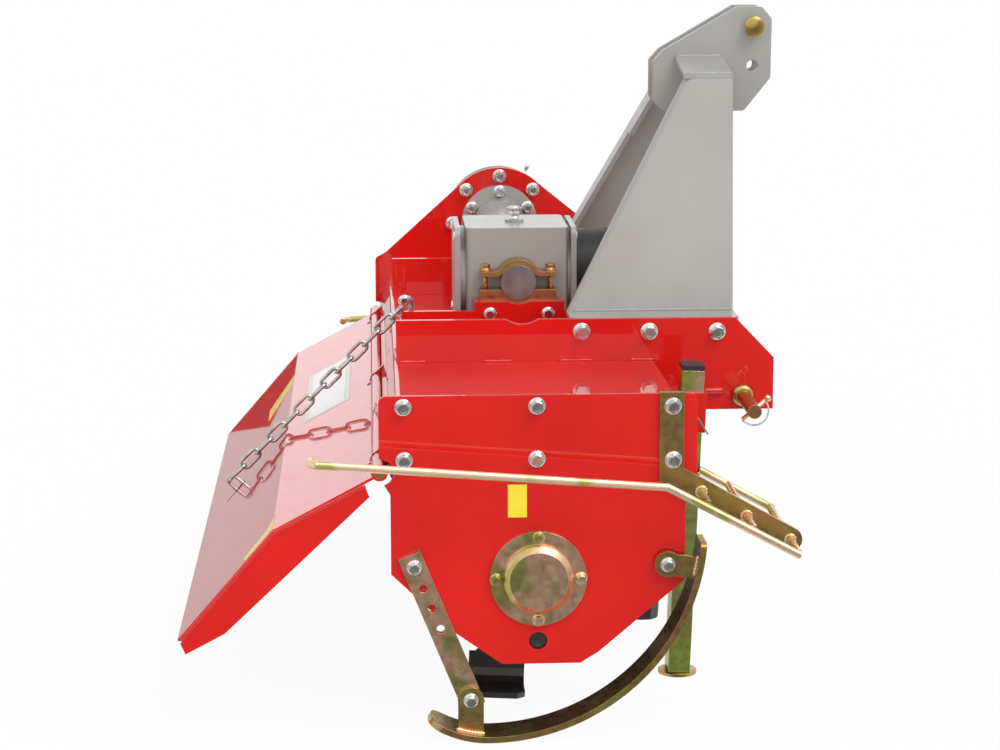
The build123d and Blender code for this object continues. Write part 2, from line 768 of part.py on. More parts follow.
strut_angle = degrees(atan2(strut_foot[1] - strut_top[1], strut_foot[0] - strut_top[0]))
strut_length = hypot(strut_foot[1] - strut_top[1], strut_foot[0] - strut_top[0])
for side, face_y, sign in (("right", right_y, -1), ("left", left_y, 1)):
    lug_face = face_y + sign * 2 * bar_thick
    outer = lug_face + sign * skid_overhang
    inner = outer - sign * skid_width
    end_plane = Plane(
        (
            skid_point(skid_front_angle, skid_front_radius)[0],
            (outer + inner) / 2,
            skid_point(skid_front_angle, skid_front_radius)[1],
        ),
        x_dir=(0, 1, 0),
        z_dir=(-sin(radians(skid_front_angle)), 0, cos(radians(skid_front_angle))),
    )
    inside = skid_front_radius - skid_thick
    front_reach = skid_low_x - skid_lug_bolt[0] + (
        inside**2 - (skid_lug_bolt[1] + ground_depth - skid_front_radius) ** 2
    ) ** 0.5
    with BuildPart() as skid:
        with BuildSketch(side_plane(max(outer, inner))):
            with BuildLine():
                lowest = skid_point(0, skid_front_radius)
                RadiusArc(skid_point(-skid_rear_angle, skid_rear_radius), lowest, -skid_rear_radius)
                RadiusArc(lowest, skid_point(skid_front_angle, skid_front_radius), -skid_front_radius)
                offset(amount=skid_thick, side=Side.LEFT)
            make_face()
        extrude(amount=skid_width)
        ends = [e for e in skid.edges() if e.geom_type == GeomType.LINE and abs(e.length - skid_thick) < 0.5]
        ends.sort(key=lambda e: e.center().X)
        fillet(ends[:2], skid_rear_corner)
        fillet(ends[-2:], skid_front_corner)
        with BuildSketch(end_plane):
            with Locations((0, -skid_hole_in) if end_plane.y_dir.Z > 0 else (0, skid_hole_in)):
                Circle(skid_hole_radius)
        extrude(amount=2 * skid_thick, both=True, mode=Mode.SUBTRACT)
        rear_lug_y = lug_face if sign > 0 else lug_face + bar_thick
        for bolt, reach, width, tilt in (
            (strut_foot, rear_lug_reach, lug_width, -90),
            (skid_lug_bolt, front_reach + skid_thick, 2 * lug_radius - 6, -8),
        ):
            with BuildSketch(side_plane(rear_lug_y)):
                with Locations(from_rotor(bolt)[0]):
                    Circle(lug_radius)
                    with Locations(Location((0, 0, 0), (0, 0, tilt))):
                        Rectangle(reach, width, align=(Align.MIN, Align.CENTER))
                with Locations(from_rotor((skid_low_x, -ground_depth + skid_front_radius))[0]):
                    Circle(inside + 2, mode=Mode.INTERSECT)
            extrude(amount=bar_thick)
    finish(skid.part, f"skid_{side}")

    with BuildPart() as strut:
        with BuildSketch(side_plane(face_y + (bar_thick if sign > 0 else 0))):
            with Locations(Location((*from_rotor(strut_top)[0], 0), (0, 0, strut_angle))):
                with Locations((-strut_past_top, 0)):
                    Rectangle(
                        strut_length + strut_past_top + strut_past_foot,
                        strut_width,
                        align=(Align.MIN, Align.CENTER),
                    )
                with Locations(*[(along, 0) for along in strut_holes]):
                    Circle(strut_hole_radius, mode=Mode.SUBTRACT)
        extrude(amount=bar_thick)
    finish(strut.part, f"skid_strut_{side}")


with BuildPart() as skid_spacers:
    for face_y, sign in ((right_y, -1), (left_y, 1)):
        with BuildSketch(side_axis_plane(skid_lug_bolt[0], face_y, skid_lug_bolt[1], sign)):
            Circle(spacer_radius)
        extrude(amount=bar_thick)
finish(skid_spacers.part, "skid_spacers")

# =================================================================== side guards
bar_bend = (guard_bar_x, guard_bar_bend)
for side, face_y, sign, rod_end in (
    ("right", right_y, -1, right_rod_end),
    ("left", left_y, 1, left_rod_end),
):
    rungs = [
        (
            bar_bend[0] + share * (guard_tip[0] - bar_bend[0]),
            bar_bend[1] + share * (guard_tip[1] - bar_bend[1]),
            inner_rod_reach if reaches else -bar_thick,
        )
        for share, reaches in guard_rungs
    ]
    with BuildPart() as bar:
        with BuildSketch(side_plane(face_y + (bar_thick if sign > 0 else 0))):
            Polygon(
                *strip(from_rotor((guard_bar_x, guard_bar_top), bar_bend, guard_tip), guard_bar_width),
                align=None,
            )
            with Locations(from_rotor(guard_tip)[0]):
                Circle(guard_bar_width / 2)
            with Locations(*[from_rotor((x, z))[0] for x, z, inside in rungs if inside > 0]):
                RegularPolygon(guard_rung_radius, rod_faces, mode=Mode.SUBTRACT)
        extrude(amount=bar_thick)
    finish(bar.part, f"guard_bar_{side}")

    rod_y = face_y + sign * outer_rod_reach
    inner_y = face_y - sign * inner_rod_reach
    path = [Vector(rotor_x + x, rod_y, rotor_z + z) for x, z in (rod_end, outer_rod_bend, outer_rod_tip)]
    inward = Vector(0, -sign, 0)
    hook = path[0] + inward * outer_rod_hook
    turn_end = path[0] + (path[1] - path[0]).normalized() * outer_rod_turn
    with BuildPart() as rods:
        with BuildLine():
            Polyline(hook, path[0] + inward * outer_rod_turn, turn_end, *path[1:])
        with BuildSketch(Plane(hook, z_dir=(0, sign, 0))):
            RegularPolygon(guard_rod_radius, rod_faces)
        sweep(transition=Transition.RIGHT)
        start = (rotor_x + inner_rod_start[0], inner_y, rotor_z + inner_rod_start[1])
        end = (rotor_x + guard_tip[0], inner_y, rotor_z + guard_tip[1])
        inner_way = Vector(*end) - Vector(*start)
        with BuildSketch(Plane(start, z_dir=inner_way)):
            RegularPolygon(guard_rod_radius, rod_faces)
        extrude(amount=inner_way.length + guard_rod_radius)
        for x, z, inside in rungs:
            with BuildSketch(side_axis_plane(x, face_y - sign * inside, z, sign)):
                RegularPolygon(guard_rung_radius, rod_faces)
            extrude(amount=inside + outer_rod_reach)
    finish(rods.part, f"guard_rod_{side}")

# =================================================================== stand
floor_z = rotor_z - ground_depth
lean = radians(stand_tilt)
stand_foot_top = floor_z + stand_foot_thick
stand_plane = Plane(
    (rotor_x + stand_foot_x, rotor_y + stand_y, stand_foot_top + 1),
    x_dir=(cos(lean), 0, -sin(lean)),
    z_dir=(sin(lean), 0, cos(lean)),
)
stand_reach = (ground_depth + stand_top - stand_foot_thick) / cos(lean)
with BuildPart() as stand_leg:
    with BuildSketch(stand_plane):
        Rectangle(stand_length, stand_depth)
        Rectangle(stand_length - 2 * stand_wall, stand_depth - 2 * stand_wall, mode=Mode.SUBTRACT)
    extrude(amount=stand_reach)
    for height in stand_holes:
        with BuildSketch(Plane(stand_plane.from_local_coords((0, stand_depth, height)), z_dir=(0, -1, 0))):
            Circle(stand_hole_radius)
        extrude(amount=2 * stand_depth, mode=Mode.SUBTRACT)
finish(stand_leg.part, "stand_leg")

with BuildPart() as stand_foot:
    with BuildSketch(Plane.XY.offset(floor_z)):
        with Locations((stand_plane.origin.X, stand_plane.origin.Y)):
            Circle(stand_foot_radius)
    extrude(amount=stand_foot_thick)
finish(stand_foot.part, "stand_foot")

with BuildPart() as stand_cap:
    with BuildSketch(stand_plane.offset(stand_reach)):
        Rectangle(stand_length, stand_depth)
    extrude(amount=cap_height)
finish(stand_cap.part, "stand_cap")

sleeve_length = stand_length + 2 * (sleeve_wall + sleeve_gap)
sleeve_depth = stand_depth + 2 * (sleeve_wall + sleeve_gap)
sleeve_plane = stand_plane.offset((ground_depth + sleeve_low - stand_foot_thick) / cos(lean))
with BuildPart() as stand_sleeve:
    with BuildSketch(sleeve_plane):
        Rectangle(sleeve_length, sleeve_depth)
        Rectangle(stand_length + 2 * sleeve_gap, stand_depth + 2 * sleeve_gap, mode=Mode.SUBTRACT)
    extrude(amount=sleeve_high - sleeve_low)
    with BuildSketch(side_plane(stand_plane.origin.Y + sleeve_depth / 2)):
        rear_low = sleeve_plane.from_local_coords((-sleeve_length / 2 + 1, 0, 0))
        rear_high = sleeve_plane.from_local_coords((-sleeve_length / 2 + 1, 0, sleeve_high - sleeve_low))
        front_x = rotor_x + hood_front
        Polygon(
            (front_x, rear_low.Z),
            (rear_low.X, rear_low.Z),
            (rear_high.X, rear_high.Z),
            (front_x, rear_high.Z),
            align=None,
        )
    extrude(amount=sleeve_depth)
finish(stand_sleeve.part, "stand_sleeve")

# =================================================================== rear board
chain_y = bracket_y + bracket_thick + chain_beside_bracket
lower_panel = Vector(board_tip_x - board_fold_x, 0, board_tip_z - board_fold_z).normalized()
panel_out = Vector(lower_panel.Z, 0, -lower_panel.X)
fold = Vector(rotor_x + board_fold_x, chain_y, rotor_z + board_fold_z)
top = Vector(rotor_x + chain_top[0], chain_y, rotor_z + chain_top[1])
chain_length = chain_links * chain_pitch
chain_rise = asin((chain_end_lift - (top - fold).dot(panel_out)) / chain_length)
chain_slope = atan2(-lower_panel.Z, -lower_panel.X) - chain_rise
chain_way = Vector(-cos(chain_slope), 0, -sin(chain_slope))
staple_x = chain_top[0] + chain_wire * cos(chain_slope) - chain_wire - staple_wire - seat_gap + staple_half
down_panel = (top + chain_way * chain_length - fold).dot(lower_panel)
keyhole_lift = chain_end_lift - chain_pitch / 2
board_plane = Plane(fold + lower_panel * down_panel, x_dir=lower_panel, z_dir=panel_out)
board_angle = atan2(board_fold_z - hinge_z, board_fold_x - hinge_x)
board_start = (
    hinge_x + (hinge_knuckle_radius - 2) * cos(board_angle),
    hinge_z + (hinge_knuckle_radius - 2) * sin(board_angle),
)
with BuildPart() as rear_board:
    with BuildSketch(side_plane(left_y)):
        with BuildLine():
            FilletPolyline(
                *from_rotor(
                    board_start,
                    (board_fold_x, board_fold_z),
                    (board_tip_x, board_tip_z),
                ),
                radius=8,
            )
            offset(amount=board_sheet, side=Side.LEFT)
        make_face()
    extrude(amount=hood_width)
    with BuildSketch(side_plane(left_y)):
        with Locations(from_rotor((hinge_x, hinge_z))[0]):
            Circle(hinge_knuckle_radius)
    extrude(amount=hood_width)
    with BuildSketch(side_plane(left_y)):
        with Locations(from_rotor((hinge_x, hinge_z))[0]):
            Circle(hinge_rod_radius + running_gap)
    extrude(amount=hood_width, mode=Mode.SUBTRACT)
    for place in hinge_lug_places:
        half = hinge_lug_thick / 2 + hinge_lug_gap
        with BuildSketch(side_plane(rotor_y + place + half)):
            with Locations(from_rotor((hinge_x, hinge_z))[0]):
                Circle(hinge_knuckle_radius + 2 + hinge_lug_clear)
        extrude(amount=2 * half, mode=Mode.SUBTRACT)
    with BuildSketch(board_plane):
        Circle(keyhole_radius)
        with Locations((keyhole_drop / 2, 0)):
            Rectangle(keyhole_drop, keyhole_slot)
    extrude(amount=keyhole_radius, both=True, mode=Mode.SUBTRACT)
finish(rear_board.part, "rear_board")

wing_outline = [
    (-247, 138),
    (-241, 122),
    (-450, -76),
    (-507, -106),
    (board_tip_x + 4, board_tip_z - 6),
    (board_fold_x + 1, board_fold_z - 6),
]
for side, y in (("right", right_y + wing_thick), ("left", left_y)):
    with BuildPart() as wing:
        with BuildSketch(side_plane(y)):
            Polygon(*from_rotor(*wing_outline), align=None)
        extrude(amount=wing_thick)
    finish(wing.part, f"board_wing_{side}")

with BuildPart() as hinge_rod:
    with BuildSketch(side_plane(left_y)):
        with Locations(from_rotor((hinge_x, hinge_z))[0]):
            Circle(hinge_rod_radius)
    extrude(amount=hood_width)
finish(hinge_rod.part, "hinge_rod")

lugs = []
for place in hinge_lug_places:
    with BuildPart() as lug:
        with BuildSketch(side_plane(rotor_y + place + hinge_lug_thick / 2)):
            with Locations(from_rotor((hinge_x, hinge_z))[0]):
                RegularPolygon(hinge_knuckle_radius + 2, flange_corners)
            Polygon(
                *from_rotor(
                    (hinge_x - 6, hinge_z + 12),
                    (lip_x + 3, lip_z + 10),
                    (lip_x + hinge_lug_foot, lip_z + 10),
                    (lip_x + hinge_lug_foot / 2, lip_z - hinge_lug_foot),
                    (hinge_x, hinge_z - 10),
                ),
                align=None,
            )
            with Locations(from_rotor((hinge_x, hinge_z))[0]):
                Circle(hinge_rod_radius, mode=Mode.SUBTRACT)
        extrude(amount=hinge_lug_thick)
    lugs.append(lug.part - hood.part)
finish(Compound(children=lugs), "hinge_lugs")

# =================================================================== chain
chain_y = bracket_y + bracket_thick + chain_beside_bracket
link_straight = chain_pitch / 2 + chain_wire - chain_half_width
link_end = link_straight + chain_half_width
corner = chain_half_width * (1 - tan(radians(22.5)) * 1.2)
with BuildPart() as link:
    with BuildLine(Plane.XY):
        half = [
            (-link_straight, chain_half_width),
            (link_straight, chain_half_width),
            (link_end, corner),
            (link_end, -corner),
        ]
        Polyline(*half, (link_straight, -chain_half_width), (-link_straight, -chain_half_width),
                 (-link_end, -corner), (-link_end, corner), close=True)
    with BuildSketch(Plane((0, chain_half_width, 0), x_dir=(0, 1, 0), z_dir=(1, 0, 0))):
        RegularPolygon(chain_wire, 6)
    sweep(transition=Transition.RIGHT)

links = []
for number in range(chain_links):
    place = Plane(top + chain_way * (chain_pitch * (number + 0.5)), x_dir=chain_way, z_dir=(0, 1, 0))
    links.append(place.location * Rot(90 * ((number + 1) % 2), 0, 0) * link.part)
last_plane = Plane(
    (board_plane.origin.X, chain_y, board_plane.origin.Z) + board_plane.z_dir * keyhole_lift,
    x_dir=board_plane.z_dir,
    z_dir=(0, 1, 0),
)
links.append(last_plane.location * link.part)
finish(Compound(children=links), "board_chain")

with BuildPart() as chain_staple:
    crown = chain_top[1] - staple_half + staple_wire + 6
    with BuildLine(side_plane(chain_y)):
        Polyline(
            *from_rotor(
                (staple_x - staple_half, deck_z),
                (staple_x - staple_half, crown + staple_half / 2),
                (staple_x - staple_half / 2, crown + staple_half),
                (staple_x + staple_half / 2, crown + staple_half),
                (staple_x + staple_half, crown + staple_half / 2),
                (staple_x + staple_half, deck_z),
            )
        )
    with BuildSketch(Plane.XY.offset(rotor_z + deck_z)):
        with Locations((rotor_x + staple_x - staple_half, chain_y)):
            RegularPolygon(staple_wire, 8)
    sweep(transition=Transition.RIGHT)
finish(chain_staple.part, "chain_staple")
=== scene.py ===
"""Looks of the rotary tiller: materials, fasteners, welds, label sheets, painted shade and reflections, light and
camera.

Lengths are in metres in the part's frame. Tables give side positions in millimetres from the rotor's
axis, forward and up, as the CAD outlines are drawn.
"""

import json
from math import cos, pi, radians, sin

import bmesh
import bpy
from mathutils import Euler, Matrix, Vector
from mathutils.bvhtree import BVHTree


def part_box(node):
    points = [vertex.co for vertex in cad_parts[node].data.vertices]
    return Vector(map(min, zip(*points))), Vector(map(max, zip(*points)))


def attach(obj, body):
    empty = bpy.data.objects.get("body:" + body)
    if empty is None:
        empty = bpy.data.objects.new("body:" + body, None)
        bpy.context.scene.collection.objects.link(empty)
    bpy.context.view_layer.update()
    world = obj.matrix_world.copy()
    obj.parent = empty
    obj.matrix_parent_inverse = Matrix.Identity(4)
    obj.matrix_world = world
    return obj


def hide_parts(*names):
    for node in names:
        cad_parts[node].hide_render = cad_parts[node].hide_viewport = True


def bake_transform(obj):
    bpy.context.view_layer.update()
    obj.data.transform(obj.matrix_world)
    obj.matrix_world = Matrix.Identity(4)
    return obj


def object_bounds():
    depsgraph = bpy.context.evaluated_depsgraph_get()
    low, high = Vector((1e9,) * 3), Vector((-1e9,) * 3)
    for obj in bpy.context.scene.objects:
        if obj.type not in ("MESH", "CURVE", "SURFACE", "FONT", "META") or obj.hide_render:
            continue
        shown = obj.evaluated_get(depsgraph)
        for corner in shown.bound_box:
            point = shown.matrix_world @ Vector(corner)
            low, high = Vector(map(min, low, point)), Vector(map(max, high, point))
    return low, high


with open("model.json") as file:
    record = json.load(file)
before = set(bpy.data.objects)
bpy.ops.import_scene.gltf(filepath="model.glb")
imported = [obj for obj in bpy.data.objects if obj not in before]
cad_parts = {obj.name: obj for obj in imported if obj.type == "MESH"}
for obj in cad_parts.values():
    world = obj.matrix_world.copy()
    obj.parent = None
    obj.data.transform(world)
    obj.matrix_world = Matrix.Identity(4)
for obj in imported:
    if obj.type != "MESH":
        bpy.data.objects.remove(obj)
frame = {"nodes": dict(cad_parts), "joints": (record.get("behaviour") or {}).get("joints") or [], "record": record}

cad_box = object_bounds()
MM = 0.001
NODES = frame["nodes"]
JOINTS = {joint["name"]: joint for joint in frame["joints"]}
ROTOR = Vector(JOINTS["rotor_spin"]["pos_m"])
FLOOR_Z = cad_box[0][2]
SIDES = {"right": -1, "left": 1}
# Where searches from the side and from above start, outside the whole machine.
OUTSIDE, ABOVE = 1.5, 1.0
TREES = {}


def place(x, z, y):
    """Point x mm ahead of and z mm above the rotor's axis, at width y in metres."""
    return Vector((ROTOR.x + x * MM, y, ROTOR.z + z * MM))


def face_y(node, sign):
    """Outermost y of a node on one side."""
    low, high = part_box(node)
    return high.y if sign > 0 else low.y


def surface(node):
    """Search tree of a CAD node's faces, kept for the next question about it."""
    if node not in TREES:
        mesh = NODES[node].data
        corners = [v.co.copy() for v in mesh.vertices]
        TREES[node] = BVHTree.FromPolygons(corners, [list(p.vertices) for p in mesh.polygons])
    return TREES[node]


def touch(start, direction, *nodes):
    """Where a straight line from start first meets these CAD nodes."""
    casts = (surface(node).ray_cast(Vector(start), Vector(direction))[0] for node in nodes)
    hits = [spot for spot in casts if spot]
    if not hits:
        raise ValueError(f"nothing to seat on at {tuple(start)} in {nodes}")
    return min(hits, key=lambda spot: (spot - Vector(start)).length)


def from_side(x, z, sign, *nodes):
    """Outer face of these nodes x mm ahead of and z mm above the rotor's axis, seen from one side."""
    return touch(place(x, z, sign * OUTSIDE), (0, -sign, 0), *nodes)


# ================================================================ materials
# Radius that the shaders give to the solids' sharp edges.
EDGE_ROUND = 1.1 * MM
# Where a noise texture has most of its values.
NOISE_MIDDLE = (0.3, 0.7)


class Shader:
    """A principled material whose colour and surface come from procedural textures."""

    def __init__(self, name, **sockets):
        self.material = bpy.data.materials.new(name)
        self.material.use_nodes = True
        self.tree = self.material.node_tree
        self.shader = self.tree.nodes["Principled BSDF"]
        self.coordinates = self.node("ShaderNodeTexCoord").outputs["Object"]
        self.rounded = self.node("ShaderNodeBevel", samples=4, Radius=EDGE_ROUND).outputs["Normal"]
        self.link(self.rounded, self.shader.inputs["Normal"])
        self.link(self.rounded, self.shader.inputs["Coat Normal"])
        for socket, value in sockets.items():
            self.shader.inputs[socket.replace("_", " ")].default_value = value

    def node(self, kind, **settings):
        made = self.tree.nodes.new(kind)
        for key, value in settings.items():
            if key in made.inputs:
                made.inputs[key].default_value = value
            else:
                setattr(made, key, value)
        return made

    def link(self, source, target):
        self.tree.links.new(source, target)

    def noise(self, scale, detail=3.0, roughness=0.55):
        noise = self.node("ShaderNodeTexNoise", Scale=scale, Detail=detail, Roughness=roughness)
        self.link(self.coordinates, noise.inputs["Vector"])
        return noise.outputs["Fac"]

    def ramp(self, source, stops):
        """Colour ramp through (position, colour) stops."""
        ramp = self.node("ShaderNodeValToRGB")
        elements = ramp.color_ramp.elements
        while len(elements) < len(stops):
            elements.new(0.5)
        for element, (position, colour) in zip(elements, stops):
            element.position = position
            element.color = (*colour, 1.0)
        self.link(source, ramp.inputs["Fac"])
        return ramp.outputs["Color"]

    def colour(self, source, stops):
        """Base colour that follows a texture through (position, colour) stops."""
        self.link(self.ramp(source, stops), self.shader.inputs["Base Color"])

    def clouds(self, scale, dark, light):
        """Base colour that drifts between two tints."""
        self.colour(self.noise(scale), list(zip(NOISE_MIDDLE, (dark, light))))

    def roughness(self, scale, low, high):
        """Roughness that drifts between two values."""
        spread = self.node("ShaderNodeMapRange")
        sockets = ("From Min", "From Max", "To Min", "To Max")
        for socket, value in zip(sockets, (*NOISE_MIDDLE, low, high)):
            spread.inputs[socket].default_value = value
        self.link(self.noise(scale), spread.inputs["Value"])
        self.link(spread.outputs["Result"], self.shader.inputs["Roughness"])

    def bump(self, source, strength, distance=0.0002, target="Normal"):
        """Small relief on the rounded edges' normal."""
        bump = self.node("ShaderNodeBump", Strength=strength, Distance=distance)
        self.link(source, bump.inputs["Height"])
        self.link(self.rounded, bump.inputs["Normal"])
        self.link(bump.outputs["Normal"], self.shader.inputs[target])


def paint(name, dark, light, rough, coat, peel, specular=0.5):
    """Sprayed paint: faint cloudiness in colour and gloss under a glossy coat with orange peel."""
    weight, coat_rough = coat
    shader = Shader(
        name, Coat_Weight=weight, Coat_Roughness=coat_rough, Coat_IOR=1.6, Specular_IOR_Level=specular
    )
    shader.clouds(6.0, dark, light)
    shader.roughness(23.0, *rough)
    ripple = shader.noise(90.0, 1.0)
    shader.bump(ripple, peel)
    shader.bump(ripple, peel * 0.5, target="Coat Normal")
    return shader.material


def plating(name, stops, rough, scale, grain=0.015):
    """Zinc: colour that drifts over the surface as its film thickness does."""
    shader = Shader(name, Metallic=1.0)
    shader.colour(shader.noise(scale, 2.0, 0.5), stops)
    shader.roughness(90.0, *rough)
    shader.bump(shader.noise(300.0, 1.0), grain, 0.0001)
    return shader.material


def passivated(name, main, patch, glint):
    """Yellow zinc whose main tint has patches of two others."""
    return plating(name, [(0.36, patch), (0.44, main), (0.56, main), (0.66, glint)], (0.24, 0.38), 13.0)


def moulded(name, dark, light, rough, grain):
    """Moulded plastic or rubber with a fine grain."""
    shader = Shader(name, Specular_IOR_Level=0.4)
    shader.clouds(30.0, dark, light)
    shader.roughness(60.0, *rough)
    shader.bump(shader.noise(900.0), grain)
    return shader.material


def vinyl(name, dark, light):
    """A blank printed label; the yellow one also colours the yellow strips of painted reflection on the board."""
    shader = Shader(name, Coat_Weight=0.6, Coat_Roughness=0.06, Roughness=0.4)
    shader.clouds(40.0, dark, light)
    return shader.material


SPLINES = 6
SPLINE_DEPTH = 2.5 * MM
# Half of the sine's range that a groove's flank takes up.
SPLINE_FLANK = 0.35


def splined(name):
    """Bare machined steel with the splines of a PTO shaft, as bump along X about the origin's axis."""
    shader = Shader(name, Metallic=1.0)
    shader.clouds(14.0, (0.34, 0.34, 0.35), (0.46, 0.46, 0.46))
    shader.roughness(120.0, 0.22, 0.36)
    split = shader.node("ShaderNodeSeparateXYZ")
    shader.link(shader.coordinates, split.inputs[0])
    turn = shader.node("ShaderNodeMath", operation="ARCTAN2")
    shader.link(split.outputs["Z"], turn.inputs[0])
    shader.link(split.outputs["Y"], turn.inputs[1])
    times = shader.node("ShaderNodeMath", operation="MULTIPLY")
    times.inputs[1].default_value = SPLINES
    shader.link(turn.outputs[0], times.inputs[0])
    wave = shader.node("ShaderNodeMath", operation="SINE")
    shader.link(times.outputs[0], wave.inputs[0])
    steep = shader.node("ShaderNodeMapRange", interpolation_type="SMOOTHSTEP")
    steep.inputs["From Min"].default_value = -SPLINE_FLANK
    steep.inputs["From Max"].default_value = SPLINE_FLANK
    shader.link(wave.outputs[0], steep.inputs["Value"])
    shader.bump(steep.outputs["Result"], 1.0, SPLINE_DEPTH)
    return shader.material


# Tints of the zinc's passivation.
OLIVE = (0.47, 0.33, 0.11)
LEAF = (0.5, 0.45, 0.15)
GREEN = (0.5, 0.61, 0.14)
ROSE = (0.9, 0.57, 0.37)
BROWN = (0.55, 0.3, 0.14)
CREAM = (0.78, 0.61, 0.38)
# Greys of bare, new and worn metal, at their places in the noise.
STEEL = [(0.3, (0.3, 0.3, 0.31)), (0.7, (0.42, 0.42, 0.43))]
BRIGHT = [(0.35, (0.62, 0.62, 0.6)), (0.6, (0.82, 0.82, 0.81))]
WORN = [(0.35, (0.38, 0.37, 0.36)), (0.6, (0.58, 0.57, 0.56))]
MATERIALS = {
    "red_paint": paint(
        "red_paint", (0.62, 0.0075, 0.005), (0.72, 0.0095, 0.0065), (0.4, 0.5), (1.0, 0.01), 0.035, 0.1
    ),
    "grey_paint": paint(
        "grey_paint", (0.34, 0.332, 0.312), (0.39, 0.381, 0.359), (0.3, 0.42), (0.35, 0.12), 0.07
    ),
    "black_paint": paint(
        "black_paint", (0.010, 0.010, 0.011), (0.022, 0.021, 0.021), (0.32, 0.48), (0.3, 0.15), 0.1
    ),
    "yellow_zinc": passivated("yellow_zinc", OLIVE, LEAF, BROWN),
    "zinc_green": passivated("zinc_green", GREEN, LEAF, CREAM),
    "zinc_rose": passivated("zinc_rose", ROSE, LEAF, LEAF),
    "zinc_brown": passivated("zinc_brown", BROWN, OLIVE, LEAF),
    "zinc_cream": passivated("zinc_cream", CREAM, LEAF, ROSE),
    "bright_zinc": plating("bright_zinc", BRIGHT, (0.12, 0.22), 30.0),
    "worn_zinc": plating("worn_zinc", WORN, (0.1, 0.2), 60.0),
    "bare_steel": plating("bare_steel", STEEL, (0.28, 0.42), 14.0, 0.15),
    "splined_steel": splined("splined_steel"),
    "black_plastic": moulded("black_plastic", (0.012,) * 3, (0.03,) * 3, (0.4, 0.55), 0.25),
    # Yellow of the side label, and of the painted reflections of yellow on the board's lower panel.
    "yellow_label_and_reflection": vinyl("yellow_label_and_reflection", (0.9, 0.7, 0.02), (0.94, 0.76, 0.04)),
    "white_label": vinyl("white_label", (0.76, 0.74, 0.73), (0.82, 0.8, 0.79)),
    "pale_label": vinyl("pale_label", (0.52, 0.54, 0.51), (0.58, 0.6, 0.57)),
}
# Where a node's finish differs from its slot's usual one.
FINISHES = {
    "bearing_cover": "zinc_rose",
    "clamp_strap": "zinc_brown",
    "clamp_saddle": "zinc_brown",
    "skid_strut_right": "zinc_rose",
    "skid_strut_left": "zinc_rose",
    "guard_rod_right": "zinc_cream",
    "guard_rod_left": "zinc_cream",
    "stand_leg": "zinc_green",
    "support_tube": "bare_steel",
    "input_shaft": "splined_steel",
}


def dress_nodes():
    """Each CAD node's procedural material, from its slot in the record."""
    for row in frame["record"]["subparts"]:
        node = row["node"]
        mesh = NODES[node].data
        mesh.materials.clear()
        mesh.materials.append(MATERIALS[FINISHES.get(node, row["material_slot"])])


# ================================================================ mesh helpers
def aim(origin, direction):
    """Matrix whose +Z runs along direction from origin."""
    turn = Vector(direction).to_track_quat("Z", "Y").to_matrix().to_4x4()
    return Matrix.Translation(origin) @ turn


def ring(bm, matrix, radius, height, segments):
    """New vertices on a circle round the matrix's Z; a radius of 0 gives one point."""
    if radius == 0:
        return [bm.verts.new(matrix @ Vector((0, 0, height)))]
    turns = [2 * pi * n / segments for n in range(segments)]
    return [bm.verts.new(matrix @ Vector((radius * cos(t), radius * sin(t), height))) for t in turns]


def skin(bm, lower, upper, smooth=True):
    """Faces from one ring to the next; either may be a single point."""
    for n in range(max(len(lower), len(upper))):
        corners = [lower[n % len(lower)], lower[(n + 1) % len(lower)]]
        corners += [upper[(n + 1) % len(upper)], upper[n % len(upper)]]
        bm.faces.new(list(dict.fromkeys(corners))).smooth = smooth


def close_ends(bm, rings):
    """Flat ends on a bar."""
    bm.faces.new(rings[0][::-1])
    bm.faces.new(rings[-1])


def lathe(bm, matrix, profile, segments=24, smooth=True):
    """Solid of revolution about the matrix's Z through (radius, height) points; returns its last ring."""
    rings = [ring(bm, matrix, radius, height, segments) for radius, height in profile]
    for lower, upper in zip(rings, rings[1:]):
        skin(bm, lower, upper, smooth)
    return rings[-1]


def turned(bm, matrix, profile, segments=24):
    """Solid of revolution whose (radius, height) points are in millimetres."""
    lathe(bm, matrix, [(radius * MM, height * MM) for radius, height in profile], segments)


def tube(bm, points, radius, segments=10, closed=False):
    """Round bar along a list of points."""
    count = len(points)
    rings = []
    for n, point in enumerate(points):
        before = points[n - 1] if closed or n else points[0]
        after = points[(n + 1) % count] if closed or n < count - 1 else points[-1]
        rings.append(ring(bm, aim(point, after - before), radius, 0, segments))
    pairs = list(zip(rings, rings[1:]))
    if closed:
        pairs.append((rings[-1], rings[0]))
    for lower, upper in pairs:
        shift = min(range(segments), key=lambda k: (upper[k].co - lower[0].co).length)
        skin(bm, lower, upper[shift:] + upper[:shift])
    if not closed:
        close_ends(bm, rings)


# Weld bead: sides of its section, rings to a ripple, its swellings and its ends as shares of its
# radius, and the slow swelling's turn from ring to ring.
WELD_SIDES, RIPPLE_RINGS = 8, 3
WELD_RIPPLE, WELD_DRIFT, WELD_END = 0.16, 0.1, 0.4
DRIFT_TURN = 0.37


def weld(bm, points, radius, pitch=0.004):
    """Weld bead along a route, with the ripples that a weld pool leaves."""
    route = []
    for start, end in zip(points, points[1:]):
        steps = max(2, int((end - start).length / pitch * RIPPLE_RINGS))
        route += [start.lerp(end, n / steps) for n in range(steps)]
    route.append(points[-1])
    rings = []
    for n, point in enumerate(route):
        ahead = route[min(n + 1, len(route) - 1)] - route[max(n - 1, 0)]
        share = 1 + WELD_RIPPLE * cos(2 * pi * n / RIPPLE_RINGS) + WELD_DRIFT * sin(n * DRIFT_TURN)
        if n in (0, len(route) - 1):
            share = WELD_END
        rings.append(ring(bm, aim(point, ahead), radius * share, 0, WELD_SIDES))
    for lower, upper in zip(rings, rings[1:]):
        skin(bm, lower, upper)
    close_ends(bm, rings)


HEXAGON = 6
# Parts of a bolt as shares of its width across flats.
HEAD_HIGH, WASHER_RADIUS, WASHER_THICK, SPRING_RADIUS = 0.62, 0.77, 0.13, 0.56
